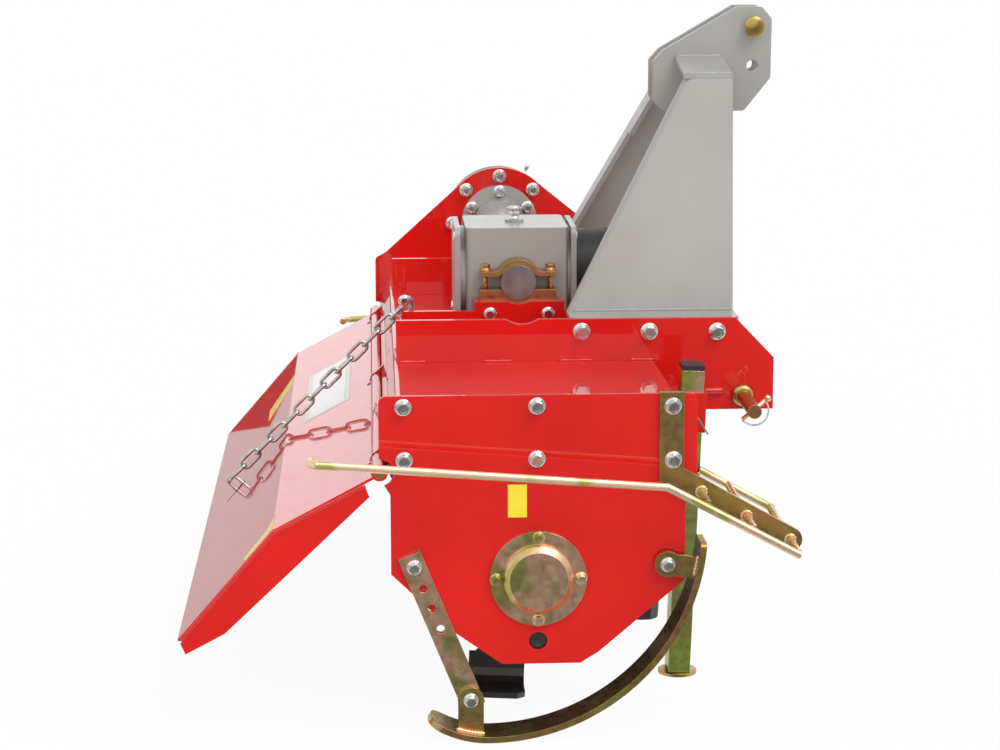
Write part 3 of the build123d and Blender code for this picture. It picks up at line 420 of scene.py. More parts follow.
# Its dished top: shares of the corner radius, and rises over the head as shares of the flats.
DISH = [(0.8, -0.012), (0.66, 0.01), (0.5, -0.05), (0, -0.05)]


def bolt(bm, at, direction, flats, head=None, washer=None, turn=0.0):
    """Hexagon bolt head on a flat and a spring washer; at is the seat, flats the width across flats."""
    matrix = aim(at, direction) @ Matrix.Rotation(turn, 4, "Z")
    head = head or flats * HEAD_HIGH
    washer = washer or flats * WASHER_RADIUS
    thick = flats * WASHER_THICK
    rim = [(washer, 0), (washer, thick * 0.75), (washer - thick * 0.25, thick)]
    lathe(bm, matrix, [(0, 0), *rim, (0, thick)])
    spring, base = flats * SPRING_RADIUS, thick * 2.2
    lathe(bm, matrix, [(spring, thick), (spring, base), (0, base)])
    corner, top = flats / 2 / cos(pi / HEXAGON), base + head
    levels = [(corner, base), (corner, base + head * 0.8), (corner * 0.96, top)]
    rim = lathe(bm, matrix, levels, HEXAGON, smooth=False)
    lathe(bm, matrix, [(corner * share, top + flats * rise) for share, rise in DISH], 18)
    bm.faces.new(rim)


def arc(centre, radius, start, end, steps=24, across=(1, 0, 0), up=(0, 0, 1)):
    """Points of an arc in the plane of two directions, angles in degrees."""
    across, up = Vector(across), Vector(up)
    turns = [radians(start + (end - start) * n / steps) for n in range(steps + 1)]
    return [centre + across * (radius * cos(t)) + up * (radius * sin(t)) for t in turns]


def block(bm, corners, depth):
    """Flat plate from its outline and the way through its thickness."""
    front = [bm.verts.new(c) for c in corners]
    back = [bm.verts.new(c + depth) for c in corners]
    bm.faces.new(front)
    bm.faces.new(back[::-1])
    for n in range(len(corners)):
        following = (n + 1) % len(corners)
        bm.faces.new((front[n], back[n], back[following], front[following]))


def publish(name, bm, material, body):
    """Turns a bmesh into a piece that rides on a body."""
    bmesh.ops.recalc_face_normals(bm, faces=bm.faces)
    mesh = bpy.data.meshes.new(name)
    bm.to_mesh(mesh)
    bm.free()
    mesh.materials.append(MATERIALS[material])
    piece = bpy.data.objects.new(name, mesh)
    bpy.context.scene.collection.objects.link(piece)
    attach(piece, body)
    return piece


# ================================================================ fasteners, and the hand hole's painted shade
# Bolts of the side faces: forward, up. The drive case hides the plates' middle ones on the left.
PLATE_BOLTS = [(-192, 252), (-2, 252), (191, 251), (-191, 175), (-2, 175), (192, 173)]
CASE_REACH = 100
LINKAGE_BOLTS = [(-178, 20), (-98, -177), (185, 21)]
BEAM_BOLTS = [(96, 283), (203, 282), (311, 281)]
BRACKET_BOLTS = [(-39, 278), (57, 278)]
HAND_HOLE = (0, -94)
# The drive tube's axis, and the bolt circles round it: plate, tube's flange and drive case.
DRIVE = (14, 329)
TOWER_BOLT_CIRCLE = 91
FLANGE_BOLT_CIRCLE = 62
CASE_TOP_CIRCLE = 90
# The case's bolts between its ends, and its two large plugs.
CASE_WAIST = [(-80, 165), (94, 165)]
CASE_PLUGS = [(40, 150), (10, 0)]
# Bolt circles round the rotor's axis: drive case and bearing cover.
CASE_LOW_CIRCLE = 88
COVER_BOLT_CIRCLE = 61
# From the gearbox's middle to its corner screws.
COVER_SCREW_REACH = 70
# From the rotor's axis: a tine's root lies inside the first, its bolts at the others.
TINE_ROOT = 70
TINE_BOLT_REACHES = (62, 80)
FLANGE_THICK = 10 * MM
# Widths across flats. The heads stand at uneven angles, as a spanner leaves them.
FLATS = {
    "plate": 16 * MM,
    "linkage": 14 * MM,
    "beam": 18 * MM,
    "bracket": 14 * MM,
    "bearing cover": 12 * MM,
    "tower": 17 * MM,
    "flange": 16 * MM,
    "case": 13 * MM,
    "case plug": 22 * MM,
    "gearbox plug": 15 * MM,
    "clamp": 14 * MM,
    "tine": 17 * MM,
    "lower pin": 30 * MM,
    "chain": 13 * MM,
}
# Turned parts: radius, height above the seat.
COVER_SCREW = [(8, 0), (8, 1), (7, 2), (3.5, 2), (3.5, 0.5), (0, 0.5)]
BREATHER = [(5, 11), (5, 14), (8, 15), (9, 17), (9, 20), (7, 22), (0, 22)]
NIPPLE = [(5.5, -2), (5.5, 8), (3.5, 9), (3.5, 15), (5, 17), (5, 22), (2.5, 26), (0, 26)]
# Black disc that fills the hand hole, as painted shade for the dark inside behind it.
HOLE_SHADE_DISC = [(0, -3), (16, -3), (16, 0), (12.6, 1), (12.6, 4), (9, 4), (8, 2.5), (0, 2.5)]


def nut(bm, at, direction, flats, stud):
    """Hexagon nut with the end of its screw showing; at is the seat."""
    bolt(bm, at, direction, flats, head=flats * 0.5)
    thread, low, pitch = flats * 0.3, flats * 0.75, 1.5 * MM
    rows = [(thread, low)]
    for ridge in range(int(stud / pitch)):
        base = low + ridge * pitch
        rows += [(thread, base + 0.75 * MM), (thread * 0.88, base + 1.1 * MM), (thread, base + pitch)]
    rows.append((0, rows[-1][1]))
    lathe(bm, aim(at, direction), rows, 16)


def around(centre, radius, count, start=90):
    """Places on a bolt circle, forward and up in millimetres."""
    turns = [radians(start + 360 * n / count) for n in range(count)]
    return [(centre[0] + radius * cos(t), centre[1] + radius * sin(t)) for t in turns]


def side_bolts():
    """Bolts that face outward on both sides."""
    plate, linkage, beam = bmesh.new(), bmesh.new(), bmesh.new()
    for side, sign in SIDES.items():
        out = (0, sign, 0)
        plates = [f"end_plate_{side}", f"guard_bar_{side}"]
        for number, (x, z) in enumerate(PLATE_BOLTS):
            if sign > 0 and abs(x) < CASE_REACH:
                continue
            bolt(plate, from_side(x, z, sign, *plates), out, FLATS["plate"], turn=number * 0.7)
        for number, (x, z) in enumerate(LINKAGE_BOLTS):
            seat = from_side(x, z, sign, f"skid_{side}", f"skid_strut_{side}")
            bolt(linkage, seat, out, FLATS["linkage"], turn=number * 0.8 + 0.2)
        for number, (x, z) in enumerate(BEAM_BOLTS):
            outside = from_side(x, z, sign, f"hitch_beam_{side}")
            bolt(beam, outside, out, FLATS["beam"], turn=number * 0.9)
            inside = touch(place(x, z, 0), out, f"mast_foot_{side}")
            nut(beam, inside, (0, -sign, 0), FLATS["beam"], 7 * MM)
    for number, (x, z) in enumerate(BRACKET_BOLTS):
        seat = from_side(x, z, -1, "gearbox_bracket")
        bolt(beam, seat, (0, -1, 0), FLATS["bracket"], turn=number + 0.4)
    publish("plate_bolts", plate, "bright_zinc", "frame")
    publish("linkage_bolts", linkage, "bright_zinc", "frame")
    publish("beam_bolts", beam, "bright_zinc", "frame")


def cover_bolts():
    """Bearing cover's screws in the right plate."""
    bm = bmesh.new()
    for number, (x, z) in enumerate(around((0, 0), COVER_BOLT_CIRCLE, 4)):
        seat = from_side(x, z, -1, "bearing_cover")
        bolt(bm, seat, (0, -1, 0), FLATS["bearing cover"], turn=number * 0.6)
    publish("cover_bolts", bm, "zinc_cream", "frame")


def drive_bolts():
    """Screws of the drive tube's flange and of the drive case, on both faces of the left plate."""
    bm = bmesh.new()
    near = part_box("end_plate_left")[0].y - 40 * MM
    for number, (x, z) in enumerate(around(DRIVE, TOWER_BOLT_CIRCLE, 8)):
        if z > DRIVE[1] - TOWER_BOLT_CIRCLE / 2:
            seat = touch(place(x, z, near), (0, 1, 0), "end_plate_left")
            bolt(bm, seat, (0, -1, 0), FLATS["tower"], turn=number * 0.7)
    for number, (x, z) in enumerate(around(DRIVE, FLANGE_BOLT_CIRCLE, 6)):
        seat = touch(place(x, z, near), (0, 1, 0), "drive_tube")
        bolt(bm, seat, (0, -1, 0), FLATS["flange"], turn=number * 1.1)
    upper = around(DRIVE, CASE_TOP_CIRCLE, 8, 0)[:5]
    lower = around((0, 0), CASE_LOW_CIRCLE, 8, 0)[4:] + [(CASE_LOW_CIRCLE, 0)]
    for number, (x, z) in enumerate(upper + CASE_WAIST + lower):
        seat = from_side(x, z, 1, "drive_case_cover")
        bolt(bm, seat, (0, 1, 0), FLATS["case"], turn=number * 0.5)
    for x, z in CASE_PLUGS:
        seat = from_side(x, z, 1, "drive_case_cover")
        bolt(bm, seat, (0, 1, 0), FLATS["case plug"], head=6.5 * MM)
    publish("drive_bolts", bm, "bright_zinc", "frame")


def gearbox_fittings():
    """Cover screws and plug of the gearbox, its breather and the drive case's nipple."""
    bm = bmesh.new()
    low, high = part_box("gearbox")
    middle = (low + high) / 2
    corners = (-COVER_SCREW_REACH * MM, COVER_SCREW_REACH * MM)
    for node, way in (("gearbox_front_cover", 1), ("gearbox_rear_cover", -1)):
        for across in corners:
            for up in corners:
                seat = touch(Vector((middle.x + way, across, up)), (-way, 0, 0), node)
                turned(bm, aim(seat, (way, 0, 0)), COVER_SCREW)
    top = Vector((middle.x, middle.y, high.z))
    bolt(bm, top, (0, 0, 1), FLATS["gearbox plug"], head=8 * MM, washer=8.5 * MM)
    turned(bm, Matrix.Translation(top), BREATHER)
    tube(bm, [top + Vector((x * MM, 0, 18.5 * MM)) for x in (-13, 0, 13)], 2.4 * MM)
    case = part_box("drive_case")
    start = Vector((ROTOR.x + 60 * MM, (case[0].y + case[1].y) / 2, case[1].z + 0.1))
    seat = touch(start, (0, 0, -1), "drive_case")
    turned(bm, aim(seat, (0.5, 0, 0.87)), NIPPLE, 14)
    publish("gearbox_fittings", bm, "bright_zinc", "frame")


def clamp_bolts():
    """Screws that hold the support tube's strap down, with their shanks in the open gap."""
    bm = bmesh.new()
    strap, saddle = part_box("clamp_strap"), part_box("clamp_saddle")
    middle = (strap[0] + strap[1]) / 2
    reach = (strap[1].x - strap[0].x) / 2 - 9 * MM
    for sign in (-1, 1):
        at = Vector((middle.x + sign * reach, middle.y, strap[1].z + 0.05))
        seat = touch(at, (0, 0, -1), "clamp_strap")
        bolt(bm, seat, (0, 0, 1), FLATS["clamp"], head=7 * MM)
        tube(bm, [seat - Vector((0, 0, 4 * MM)), Vector((seat.x, seat.y, saddle[1].z - 2 * MM))], 4 * MM)
    publish("clamp_bolts", bm, "zinc_brown", "frame")


def solids_of(node):
    """Corners of each separate solid in a CAD node."""
    bm = bmesh.new()
    bm.from_mesh(NODES[node].data)
    bmesh.ops.remove_doubles(bm, verts=bm.verts, dist=1e-5)
    bm.verts.index_update()
    solids, seen = [], set()
    for first in bm.verts:
        if first.index in seen:
            continue
        seen.add(first.index)
        growing, corners = [first], []
        while growing:
            vert = growing.pop()
            corners.append(vert.co.copy())
            for edge in vert.link_edges:
                near = edge.other_vert(vert)
                if near.index not in seen:
                    seen.add(near.index)
                    growing.append(near)
        solids.append(corners)
    bm.free()
    return solids


def tine_bolts():
    """Two bolts through the root of each tine and its flange."""
    bm = bmesh.new()
    axis = Vector((ROTOR.x, 0, ROTOR.z))
    for corners in solids_of("tines_right_hand") + solids_of("tines_left_hand"):
        root = [c for c in corners if Vector((c.x - axis.x, c.z - axis.z)).length < TINE_ROOT * MM]
        middle = sum(root, Vector()) / len(root)
        arm = Vector((middle.x - axis.x, 0, middle.z - axis.z)).normalized()
        low, high = min(c.y for c in root), max(c.y for c in root)
        for reach in TINE_BOLT_REACHES:
            spot = axis + arm * (reach * MM)
            below = surface("rotor").ray_cast(spot + Vector((0, high, 0)), Vector((0, -1, 0)))[3]
            out = 1 if below is not None and below < high - low + 2 * MM else -1
            face, back = (high, low - FLANGE_THICK) if out > 0 else (low, high + FLANGE_THICK)
            bolt(bm, spot + Vector((0, face, 0)), (0, out, 0), FLATS["tine"])
            nut(bm, spot + Vector((0, back, 0)), (0, -out, 0), FLATS["tine"], 4 * MM)
    publish("tine_bolts", bm, "bare_steel", "rotor")


def hand_hole_shade_disc():
    """Black disc in the right plate's lower hole: painted shade for the dark inside seen through it."""
    bm = bmesh.new()
    at = place(*HAND_HOLE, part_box("end_plate_right")[1].y + 1 * MM)
    turned(bm, aim(at, (0, -1, 0)), HOLE_SHADE_DISC, 32)
    publish("hand_hole_shade_disc", bm, "black_plastic", "frame")


# ================================================================ pins
# Lynch pin: slant in degrees, way to its tail and to its head, radii of its peg, ring and wire, and
# how far the ring swings out.
LYNCH_SLANT = 40
LYNCH_TAIL, LYNCH_REACH, LYNCH_PEG = 22 * MM, 25 * MM, 3.4 * MM
LYNCH_RING, LYNCH_WIRE, LYNCH_SWING = 23 * MM, 1.5 * MM, 5 * MM
# Turned parts: radius, height above the seat.
LYNCH_HEAD = [(3.4, 0), (5.5, 2), (5.5, 6), (0, 9)]
COLLAR = [(11, 12), (13, 12), (17, 8), (17.5, 6), (17.5, 0), (11, 0)]
TOP_PIN_HEAD = [(0, 0), (16, 0), (17, 1), (17, 6), (16, 7), (9.5, 7)]
STAND_PIN_END = [(5, -1), (5, 3), (8, 4), (8, 6), (0, 7)]
# Bent wire from the stand's pin, in millimetres along X, Y and Z.
STAND_WIRE = [(0, -6, 0), (10, -7, -6), (18, -6, -18), (27, -5, -33)]
# The collar seats on the beam beside its hole, and the nut on the beam's inner face.
COLLAR_SEAT, BEAM_THICK = 17, 10 * MM
# From a pin's end back to its lynch pin.
LOWER_END, TOP_END = 13 * MM, 9 * MM


def lynch_pin(peg, bow, at, sign):
    """Lynch pin through a pin's end, its ring snapped round below; sign is the side it faces."""
    slant = Vector((cos(radians(LYNCH_SLANT)), 0, sin(radians(LYNCH_SLANT))))
    head = at + slant * LYNCH_REACH
    tube(peg, [at - slant * LYNCH_TAIL, head], LYNCH_PEG, 12)
    turned(peg, aim(head, slant), LYNCH_HEAD, 14)
    steps = 24
    route = arc(at, LYNCH_RING, LYNCH_SLANT, LYNCH_SLANT - 180, steps)
    out = [sign * LYNCH_SWING * sin(pi * n / steps) for n in range(len(route))]
    tube(bow, [spot + Vector((0, y, 0)) for spot, y in zip(route, out)], LYNCH_WIRE, 8)


def hitch_pins():
    """Collars, nuts and heads of the three hitch pins, each with its lynch pin."""
    collars, pegs, rings = bmesh.new(), bmesh.new(), bmesh.new()
    for side, sign in SIDES.items():
        beam = f"hitch_beam_{side}"
        low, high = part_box(f"lower_pin_{side}")
        middle = (low + high) / 2
        x, z = (middle.x - ROTOR.x) / MM, (middle.z - ROTOR.z) / MM
        seat = from_side(x + COLLAR_SEAT, z, sign, beam)
        root = Vector((middle.x, seat.y, middle.z))
        turned(collars, aim(root, (0, sign, 0)), COLLAR, 32)
        end = (high.y if sign > 0 else low.y) - sign * LOWER_END
        lynch_pin(pegs, rings, Vector((middle.x, end, middle.z)), sign)
        inner = Vector((middle.x, seat.y - sign * BEAM_THICK, middle.z))
        nut(collars, inner, (0, -sign, 0), FLATS["lower pin"], 6 * MM)
    low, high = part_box("top_link_pin")
    middle = (low + high) / 2
    turned(collars, aim(Vector((middle.x, low.y - 1 * MM, middle.z)), (0, 1, 0)), TOP_PIN_HEAD, 32)
    lynch_pin(pegs, rings, Vector((middle.x, high.y - TOP_END, middle.z)), 1)
    publish("pin_collars", collars, "yellow_zinc", "frame")
    publish("lynch_pins", pegs, "zinc_cream", "frame")
    publish("lynch_rings", rings, "bright_zinc", "frame")


def stand_pin():
    """Pin that locks the stand in its sleeve, with its spring wire outside."""
    bm = bmesh.new()
    low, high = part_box("stand_sleeve")
    middle = (low + high) / 2
    for face, sign in ((low.y, -1), (high.y, 1)):
        turned(bm, aim(Vector((middle.x, face, middle.z)), (0, sign, 0)), STAND_PIN_END, 16)
    start = Vector((middle.x, low.y, middle.z))
    tube(bm, [start + Vector(step) * MM for step in STAND_WIRE], 1.4 * MM, 8)
    publish("stand_pin", bm, "bare_steel", "frame")


# ================================================================ welds
# Runs along the beams on the deck and along the mast's feet: from, to.
BEAM_WELDS = [(-192, -150), (-60, -14), (60, 112), (172, 210)]
MAST_WELD = (88, 345)
# Short bar on the near beam: forward, at this height.
BEAM_BAR, BEAM_BAR_UP = (292, 294, 318, 320), 186
# The guard's outer rod slopes from its bend to its tip, with the rungs at these shares of the way.
GUARD_BEND, GUARD_TIP = (190, 150), (362, 53)
GUARD_RUNGS = (0.25, 0.63, 1.0)
RUNG_RING = 7.4 * MM
# A skid's lugs, where their faces are read, and the beads' places along the runner.
REAR_LUG, FRONT_LUG = (-98, -205), (205, 18)
SKID_REAR_WELD, SKID_FRONT_WELD = range(-120, -76, 6), range(4, 36, 5)
# The wings' edge on the board's sheet.
WING_EDGE = [(-247, 139), (-378, 72), (-514, -86)]


def guard_welds():
    """Rings of weld where the rungs meet the guards' bars."""
    bm = bmesh.new()
    for side, sign in SIDES.items():
        for share in GUARD_RUNGS:
            x, z = (a + (b - a) * share for a, b in zip(GUARD_BEND, GUARD_TIP))
            spot = place(x, z, face_y(f"guard_bar_{side}", sign) + sign * 0.5 * MM)
            weld(bm, arc(spot, RUNG_RING, 0, 360, 12), 2.3 * MM, 0.0035)
    publish("guard_welds", bm, "zinc_cream", "frame")


def skid_welds():
    """Beads between the skids' runners and their lugs."""
    bm = bmesh.new()
    for side, sign in SIDES.items():
        skid = f"skid_{side}"
        rear = from_side(*REAR_LUG, sign, skid).y + sign * 1.2 * MM
        route = [touch(place(x, -170, rear), (0, 0, -1), skid) for x in SKID_REAR_WELD]
        weld(bm, route, 3.2 * MM)
        front = from_side(*FRONT_LUG, sign, skid).y + sign * 1.2 * MM
        route = [touch(place(195, z, front), (1, 0, 0), skid) for z in SKID_FRONT_WELD]
        weld(bm, route, 3 * MM)
    publish("skid_welds", bm, "zinc_cream", "frame")


def board_welds():
    """Seams that join the rear board's side wings to its sheet."""
    bm = bmesh.new()
    for side, sign in SIDES.items():
        y = face_y(f"board_wing_{side}", sign) - sign * 2 * MM
        weld(bm, [place(x, z, y) for x, z in WING_EDGE], 4 * MM, 0.005)
    publish("board_welds", bm, "red_paint", "board")


def hitch_welds():
    """Beads between the hitch beams and the deck, and the short bar on the near beam."""
    bm = bmesh.new()
    deck = (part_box("hood")[1].z - ROTOR.z) / MM
    for side, sign in SIDES.items():
        y = face_y(f"hitch_beam_{side}", sign) + sign * 1 * MM
        for start, end in BEAM_WELDS:
            weld(bm, [place(start, deck + 1, y), place(end, deck + 1, y)], 3 * MM, 0.005)
    rod = face_y("hitch_beam_right", -1) - 4 * MM
    tube(bm, [place(x, BEAM_BAR_UP, rod) for x in BEAM_BAR], 5 * MM, 14)
    publish("hitch_welds", bm, "red_paint", "frame")


def mast_welds():
    """Beads at the mast's feet and round its cap."""
    bm = bmesh.new()
    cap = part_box("mast_cap")
    for side, sign in SIDES.items():
        base = face_y(f"mast_leg_{side}", sign) + sign * 1 * MM
        foot = (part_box(f"mast_foot_{side}")[1].z - ROTOR.z) / MM
        weld(bm, [place(x, foot + 1, base) for x in MAST_WELD], 3 * MM, 0.005)
        for y in (face_y(f"mast_ear_{side}", sign) + sign * 1 * MM, cap[1].y * sign - sign * 3 * MM):
            ends = [Vector((x, y, ABOVE)) for x in (cap[0].x + 3 * MM, cap[1].x - 3 * MM)]
            weld(bm, [touch(end, (0, 0, -1), "mast_cap") for end in ends], 2.8 * MM, 0.005)
    publish("mast_welds", bm, "grey_paint", "frame")


# ================================================================ chain
# Upper end, slope, links in the run, and one link's pitch, wire radius and half width.
CHAIN_TOP = (-179.7, 293.0)
CHAIN_SLOPE = radians(45.0)
CHAIN_LINKS, CHAIN_PITCH, CHAIN_WIRE, LINK_HALF_WIDTH = 13, 32.0, 3.0, 8.0
# The board's line from the side, and the rise of the last link over it.
BOARD_HINGE, BOARD_FOLD, BOARD_TIP = (-226, 157), (-379, 76), (-518, -84)
KEYHOLE_LIFT = 5.0
# The staple's bolt and its cotter, from the chain's upper end in millimetres.
STAPLE_BOLT, STAPLE_COTTER = (-1, 6), (-6, -9, -8)


def panel(start, end):
    """A board panel's line: the way down it and the way out of its outer face."""
    down = Vector((end[0] - start[0], 0, end[1] - start[1])).normalized()
    return down, Vector((down.z, 0, -down.x))


def link(bm, centre, along, across):
    """One chain link round its middle, seen across its flat."""
    straight = CHAIN_PITCH / 2 + CHAIN_WIRE - LINK_HALF_WIDTH
    route = []
    for sign in (1, -1):
        bow = centre + along * (sign * straight * MM)
        route += arc(bow, LINK_HALF_WIDTH * MM, -90, 90, 9, along * sign, across * sign)
    tube(bm, route, CHAIN_WIRE * MM, 12, closed=True)


def board_chain():
    """Smooth links in the place of the plain ones, from the staple to the board's keyhole, and a bolt."""
    bm = bmesh.new()
    low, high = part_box("board_chain")
    y = (low.y + high.y) / 2
    way = Vector((-cos(CHAIN_SLOPE), 0, -sin(CHAIN_SLOPE)))
    top = place(*CHAIN_TOP, y)
    flat, side = Vector((0, 1, 0)).cross(way), Vector((0, 1, 0))
    for number in range(CHAIN_LINKS):
        centre = top + way * (CHAIN_PITCH * (number + 0.5) * MM)
        link(bm, centre, way, flat if number % 2 else side)
    down, out = panel(BOARD_FOLD, BOARD_TIP)
    fold = place(*BOARD_FOLD, y)
    reach = (top + way * (CHAIN_LINKS * CHAIN_PITCH * MM) - fold).dot(down)
    foot = fold + down * reach + out * (KEYHOLE_LIFT * MM)
    link(bm, foot, out, down)
    chain = publish("board_chain_links", bm, "worn_zinc", "frame")
    chain.parent = None
    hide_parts("board_chain")
    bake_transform(chain)

    bm = bmesh.new()
    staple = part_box("chain_staple")
    x, z = top.x + STAPLE_BOLT[0] * MM, top.z + STAPLE_BOLT[1] * MM
    head, tail = Vector((x, staple[0].y - 5 * MM, z)), Vector((x, staple[1].y + 8 * MM, z))
    bolt(bm, head, (0, -1, 0), FLATS["chain"])
    tube(bm, [head, tail], 4 * MM)
    tube(bm, arc(top + Vector(STAPLE_COTTER) * MM, 13 * MM, -160, 60), 1.8 * MM, 8)
    publish("chain_fastener", bm, "bright_zinc", "frame")


# ================================================================ label sheets and painted reflections
LABEL_THICK = 0.4 * MM
# Width of the board label's border in millimetres.
LABEL_BORDER = 9
# Corners on the right plate: forward, up.
SIDE_LABEL = [(-43.6, 89.6), (-16.3, 89.6), (-16.3, 137.8), (-43.6, 137.8)]
# Label and painted reflections on the board's panels: down the panel from its upper edge in millimetres, and y in
# metres.
BLANK_LABEL = (54, 140, -0.11, 0.3)
# Yellow strips on the lower panel: painted reflections of yellow things beside the board, as its gloss shows them.
NEAR_YELLOW_REFLECTION = [(-1, -0.69), (17, -0.728), (68, -0.735), (60, -0.765), (2, -0.765)]
FAR_YELLOW_REFLECTION = [(1, 0.407), (3, 0.331), (66, 0.219), (68, 0.321)]


def panel_label_and_reflection(name, material, start, end, corners, lift=0.0):
    """A thin sheet lying on one of the board's panels: the label, and the yellow strips of painted reflection."""
    down, out = panel(start, end)
    middle = sum(s for s, y in corners) / len(corners), sum(y for s, y in corners) / len(corners)
    base = place(*start, middle[1]) + down * (middle[0] * MM)
    rise = (touch(base + out * 50 * MM, -out, "rear_board") - base).dot(out) + lift
    bm = bmesh.new()
    spots = [place(*start, y) + down * (s * MM) + out * rise for s, y in corners]
    block(bm, spots, out * LABEL_THICK)
    publish(name, bm, material, "board")


def labels_and_reflections():
    """Blank label sheets on the right plate and on the board, and yellow strips of painted reflection on the
    board's lower panel.
    """
    bm = bmesh.new()
    y = face_y("end_plate_right", -1)
    block(bm, [place(x, z, y) for x, z in SIDE_LABEL], Vector((0, -LABEL_THICK, 0)))
    publish("side_label", bm, "yellow_label_and_reflection", "frame")
    top, bottom, near, far = BLANK_LABEL
    border = [(top, near), (bottom, near), (bottom, far), (top, far)]
    top, bottom = top + LABEL_BORDER, bottom - LABEL_BORDER
    near, far = near + LABEL_BORDER * MM, far - LABEL_BORDER * MM
    inner = [(top, near), (bottom, near), (bottom, far), (top, far)]
    panel_label_and_reflection("board_label", "pale_label", BOARD_HINGE, BOARD_FOLD, border)
    panel_label_and_reflection("board_label_field", "white_label", BOARD_HINGE, BOARD_FOLD, inner, LABEL_THICK)
    # Painted reflections of yellow, drawn as thin yellow sheets on the lower panel.
    panel_label_and_reflection("near_painted_reflection", "yellow_label_and_reflection", BOARD_FOLD, BOARD_TIP, NEAR_YELLOW_REFLECTION)
    panel_label_and_reflection("far_painted_reflection", "yellow_label_and_reflection", BOARD_FOLD, BOARD_TIP, FAR_YELLOW_REFLECTION)


# ================================================================ studio
FLOOR_REACH = 45.0
FLOOR_GREYS = ((0.9, 0.9, 0.9), (0.92, 0.92, 0.92))
FLOOR_GLOW = 0.95
# Strength of the surroundings to the camera and as soft light.
SEEN_LEVEL, SOFT_LEVEL = 1.0, 0.52
# Strength in reflections, by direction: from, to, and the values there.
FRONT_FADE = (-0.95, -0.3, 0.17, 1.0)
BEHIND_FADE = (0.6, 0.9, 0.0, 1.0)
HORIZON_FADE = (-0.035, 0.035, 0.64, 1.25)
# Red screen behind the machine: its sides as x/y, its foot and its slanted top as z/y.
SCREEN = (0.62, 0.012, 0.008)
SCREEN_SIDES = (-0.2045, -0.05)
SCREEN_FOOT = -0.13
SCREEN_SLANT, SCREEN_TOP = 0.7, 0.073
# The photo's camera: place in metres, turn in degrees, lens in millimetres.
CAMERA_PLACE = (-0.433, -4.374, 0.663)
CAMERA_TURN = (90 - 10.9, 0.12, -2.86)
CAMERA_LENS = 93.6
# Suns: strength, angle across and turn in degrees.
SUNS = {"key": (1.45, 40, (38, 0, 42)), "fill": (0.85, 70, (62, 0, -10))}


class Sky:
    """The studio's surroundings: white to the camera, graded in reflections, even for soft light."""

    def __init__(self):
        world = bpy.data.worlds.new("studio")
        bpy.context.scene.world = world
        world.use_nodes = True
        self.tree = world.node_tree
        self.tree.nodes.clear()
        path = self.add("ShaderNodeLightPath")
        seen = self.math("MAXIMUM", path.outputs["Is Glossy Ray"], path.outputs["Is Transmission Ray"])
        level, screen = self.reflected()
        strength = self.mix(path.outputs["Is Camera Ray"], self.mix(seen, SOFT_LEVEL, level), SEEN_LEVEL)
        background = self.add("ShaderNodeBackground")
        self.tree.links.new(strength, background.inputs["Strength"])
        tint = self.add("ShaderNodeMix", data_type="RGBA")
        tint.inputs["A"].default_value = (1, 1, 1, 1)
        tint.inputs["B"].default_value = (*SCREEN, 1)
        self.tree.links.new(self.math("MULTIPLY", screen, seen), tint.inputs["Factor"])
        self.tree.links.new(tint.outputs["Result"], background.inputs["Color"])
        output = self.add("ShaderNodeOutputWorld")
        self.tree.links.new(background.outputs[0], output.inputs["Surface"])

    def add(self, kind, **settings):
        node = self.tree.nodes.new(kind)
        for key, value in settings.items():
            setattr(node, key, value)
        return node

    def feed(self, socket, value):
        """A number or another node's output into a socket."""
        if isinstance(value, (int, float)):
            socket.default_value = value
        else:
            self.tree.links.new(value, socket)

    def math(self, operation, a, b):
        node = self.add("ShaderNodeMath", operation=operation)
        self.feed(node.inputs[0], a)
        self.feed(node.inputs[1], b)
        return node.outputs[0]

    def mix(self, factor, a, b):
        node = self.add("ShaderNodeMix")
        for key, value in (("Factor", factor), ("A", a), ("B", b)):
            self.feed(node.inputs[key], value)
        return node.outputs["Result"]

    def fade(self, value, start, end, low, high):
        """Smooth step from low to high as the value runs from start to end."""
        node = self.add("ShaderNodeMapRange", interpolation_type="SMOOTHSTEP")
        for key, setting in (("From Min", start), ("From Max", end), ("To Min", low), ("To Max", high)):
            node.inputs[key].default_value = setting
        self.tree.links.new(value, node.inputs["Value"])
        return node.outputs["Result"]

    def reflected(self):
        """Dim in front of the machine, bright behind it above the horizon, with one red screen there."""
        direction = self.add("ShaderNodeTexCoord")
        split = self.add("ShaderNodeSeparateXYZ")
        self.tree.links.new(direction.outputs["Generated"], split.inputs[0])
        x, y, z = (split.outputs[axis] for axis in "XYZ")
        front = self.fade(y, *FRONT_FADE)
        behind = self.fade(y, *BEHIND_FADE)
        horizon = self.fade(z, *HORIZON_FADE)
        level = self.math("MULTIPLY", front, self.mix(behind, 1.0, horizon))
        across, up = self.math("DIVIDE", x, y), self.math("DIVIDE", z, y)
        top = self.math("ADD", self.math("MULTIPLY", across, SCREEN_SLANT), SCREEN_TOP)
        screen = behind
        for test, value, edge in (
            ("GREATER_THAN", across, SCREEN_SIDES[0]),
            ("LESS_THAN", across, SCREEN_SIDES[1]),
            ("GREATER_THAN", up, SCREEN_FOOT),
            ("LESS_THAN", up, top),
        ):
            screen = self.math("MULTIPLY", screen, self.math(test, value, edge))
        return level, screen


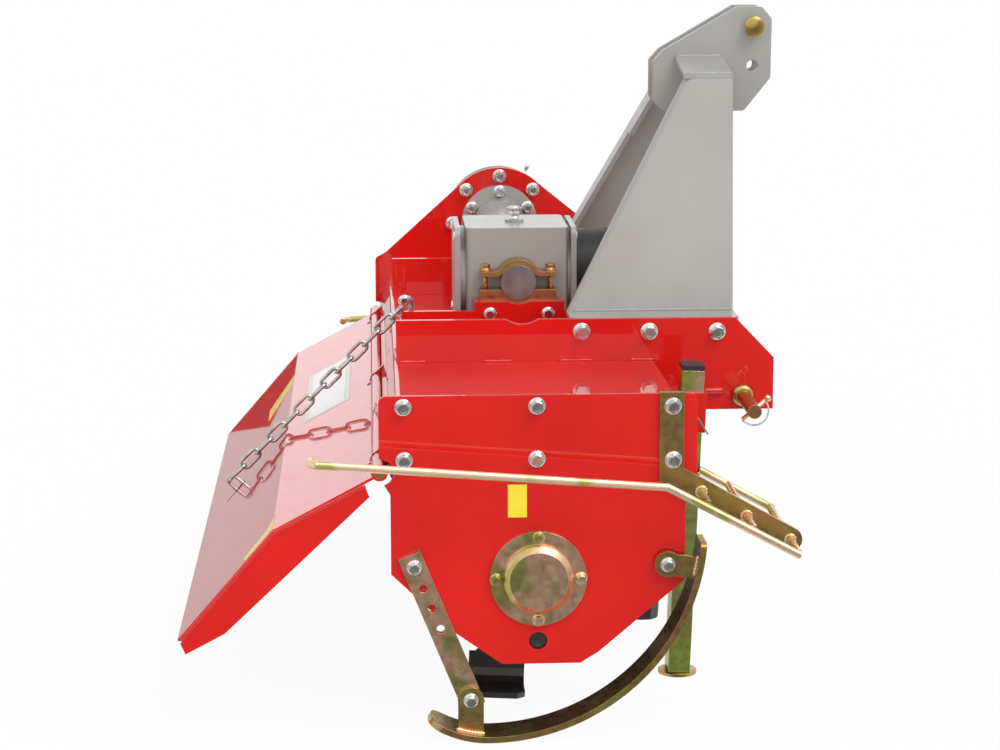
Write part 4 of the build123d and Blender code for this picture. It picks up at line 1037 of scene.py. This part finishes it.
def floor():
    """Pale floor that keeps the object's shadow and shows as white as the surroundings."""
    bm = bmesh.new()
    lathe(bm, Matrix.Translation((0, 0, FLOOR_Z)), [(0, 0), (FLOOR_REACH, 0)], segments=64, smooth=False)
    mesh = bpy.data.meshes.new("floor")
    bm.to_mesh(mesh)
    bm.free()
    ground = bpy.data.objects.new("floor", mesh)
    bpy.context.scene.collection.objects.link(ground)
    pale = Shader("studio_floor", Roughness=0.9)
    pale.clouds(0.6, *FLOOR_GREYS)
    glow = pale.node("ShaderNodeEmission", Strength=1.0)
    seen = pale.node("ShaderNodeLightPath")
    share = pale.node("ShaderNodeMath", operation="MULTIPLY")
    share.inputs[1].default_value = FLOOR_GLOW
    pale.link(seen.outputs["Is Camera Ray"], share.inputs[0])
    mix = pale.node("ShaderNodeMixShader")
    pale.link(share.outputs[0], mix.inputs[0])
    pale.link(pale.shader.outputs[0], mix.inputs[1])
    pale.link(glow.outputs[0], mix.inputs[2])
    pale.link(mix.outputs[0], pale.tree.nodes["Material Output"].inputs["Surface"])
    mesh.materials.append(pale.material)
    ground.visible_glossy = False


def studio():
    """Floor, surroundings, two suns and the photo's camera."""
    scene = bpy.context.scene
    scene.view_settings.view_transform = "Standard"
    floor()
    Sky()
    for name, (energy, angle, turn) in SUNS.items():
        lamp = bpy.data.lights.new(name, "SUN")
        lamp.energy = energy
        lamp.angle = radians(angle)
        holder = bpy.data.objects.new(name, lamp)
        holder.rotation_euler = Euler([radians(a) for a in turn])
        scene.collection.objects.link(holder)
    camera = bpy.data.cameras.new("camera")
    camera.sensor_width = 36.0
    camera.lens = CAMERA_LENS
    camera.clip_end = 100.0
    stand = bpy.data.objects.new("camera", camera)
    stand.location = CAMERA_PLACE
    stand.rotation_euler = Euler([radians(a) for a in CAMERA_TURN])
    scene.collection.objects.link(stand)
    scene.camera = stand


dress_nodes()
side_bolts()
cover_bolts()
drive_bolts()
gearbox_fittings()
clamp_bolts()
tine_bolts()
hand_hole_shade_disc()
hitch_pins()
stand_pin()
guard_welds()
skid_welds()
board_welds()
hitch_welds()
mast_welds()
board_chain()
labels_and_reflections()
studio()
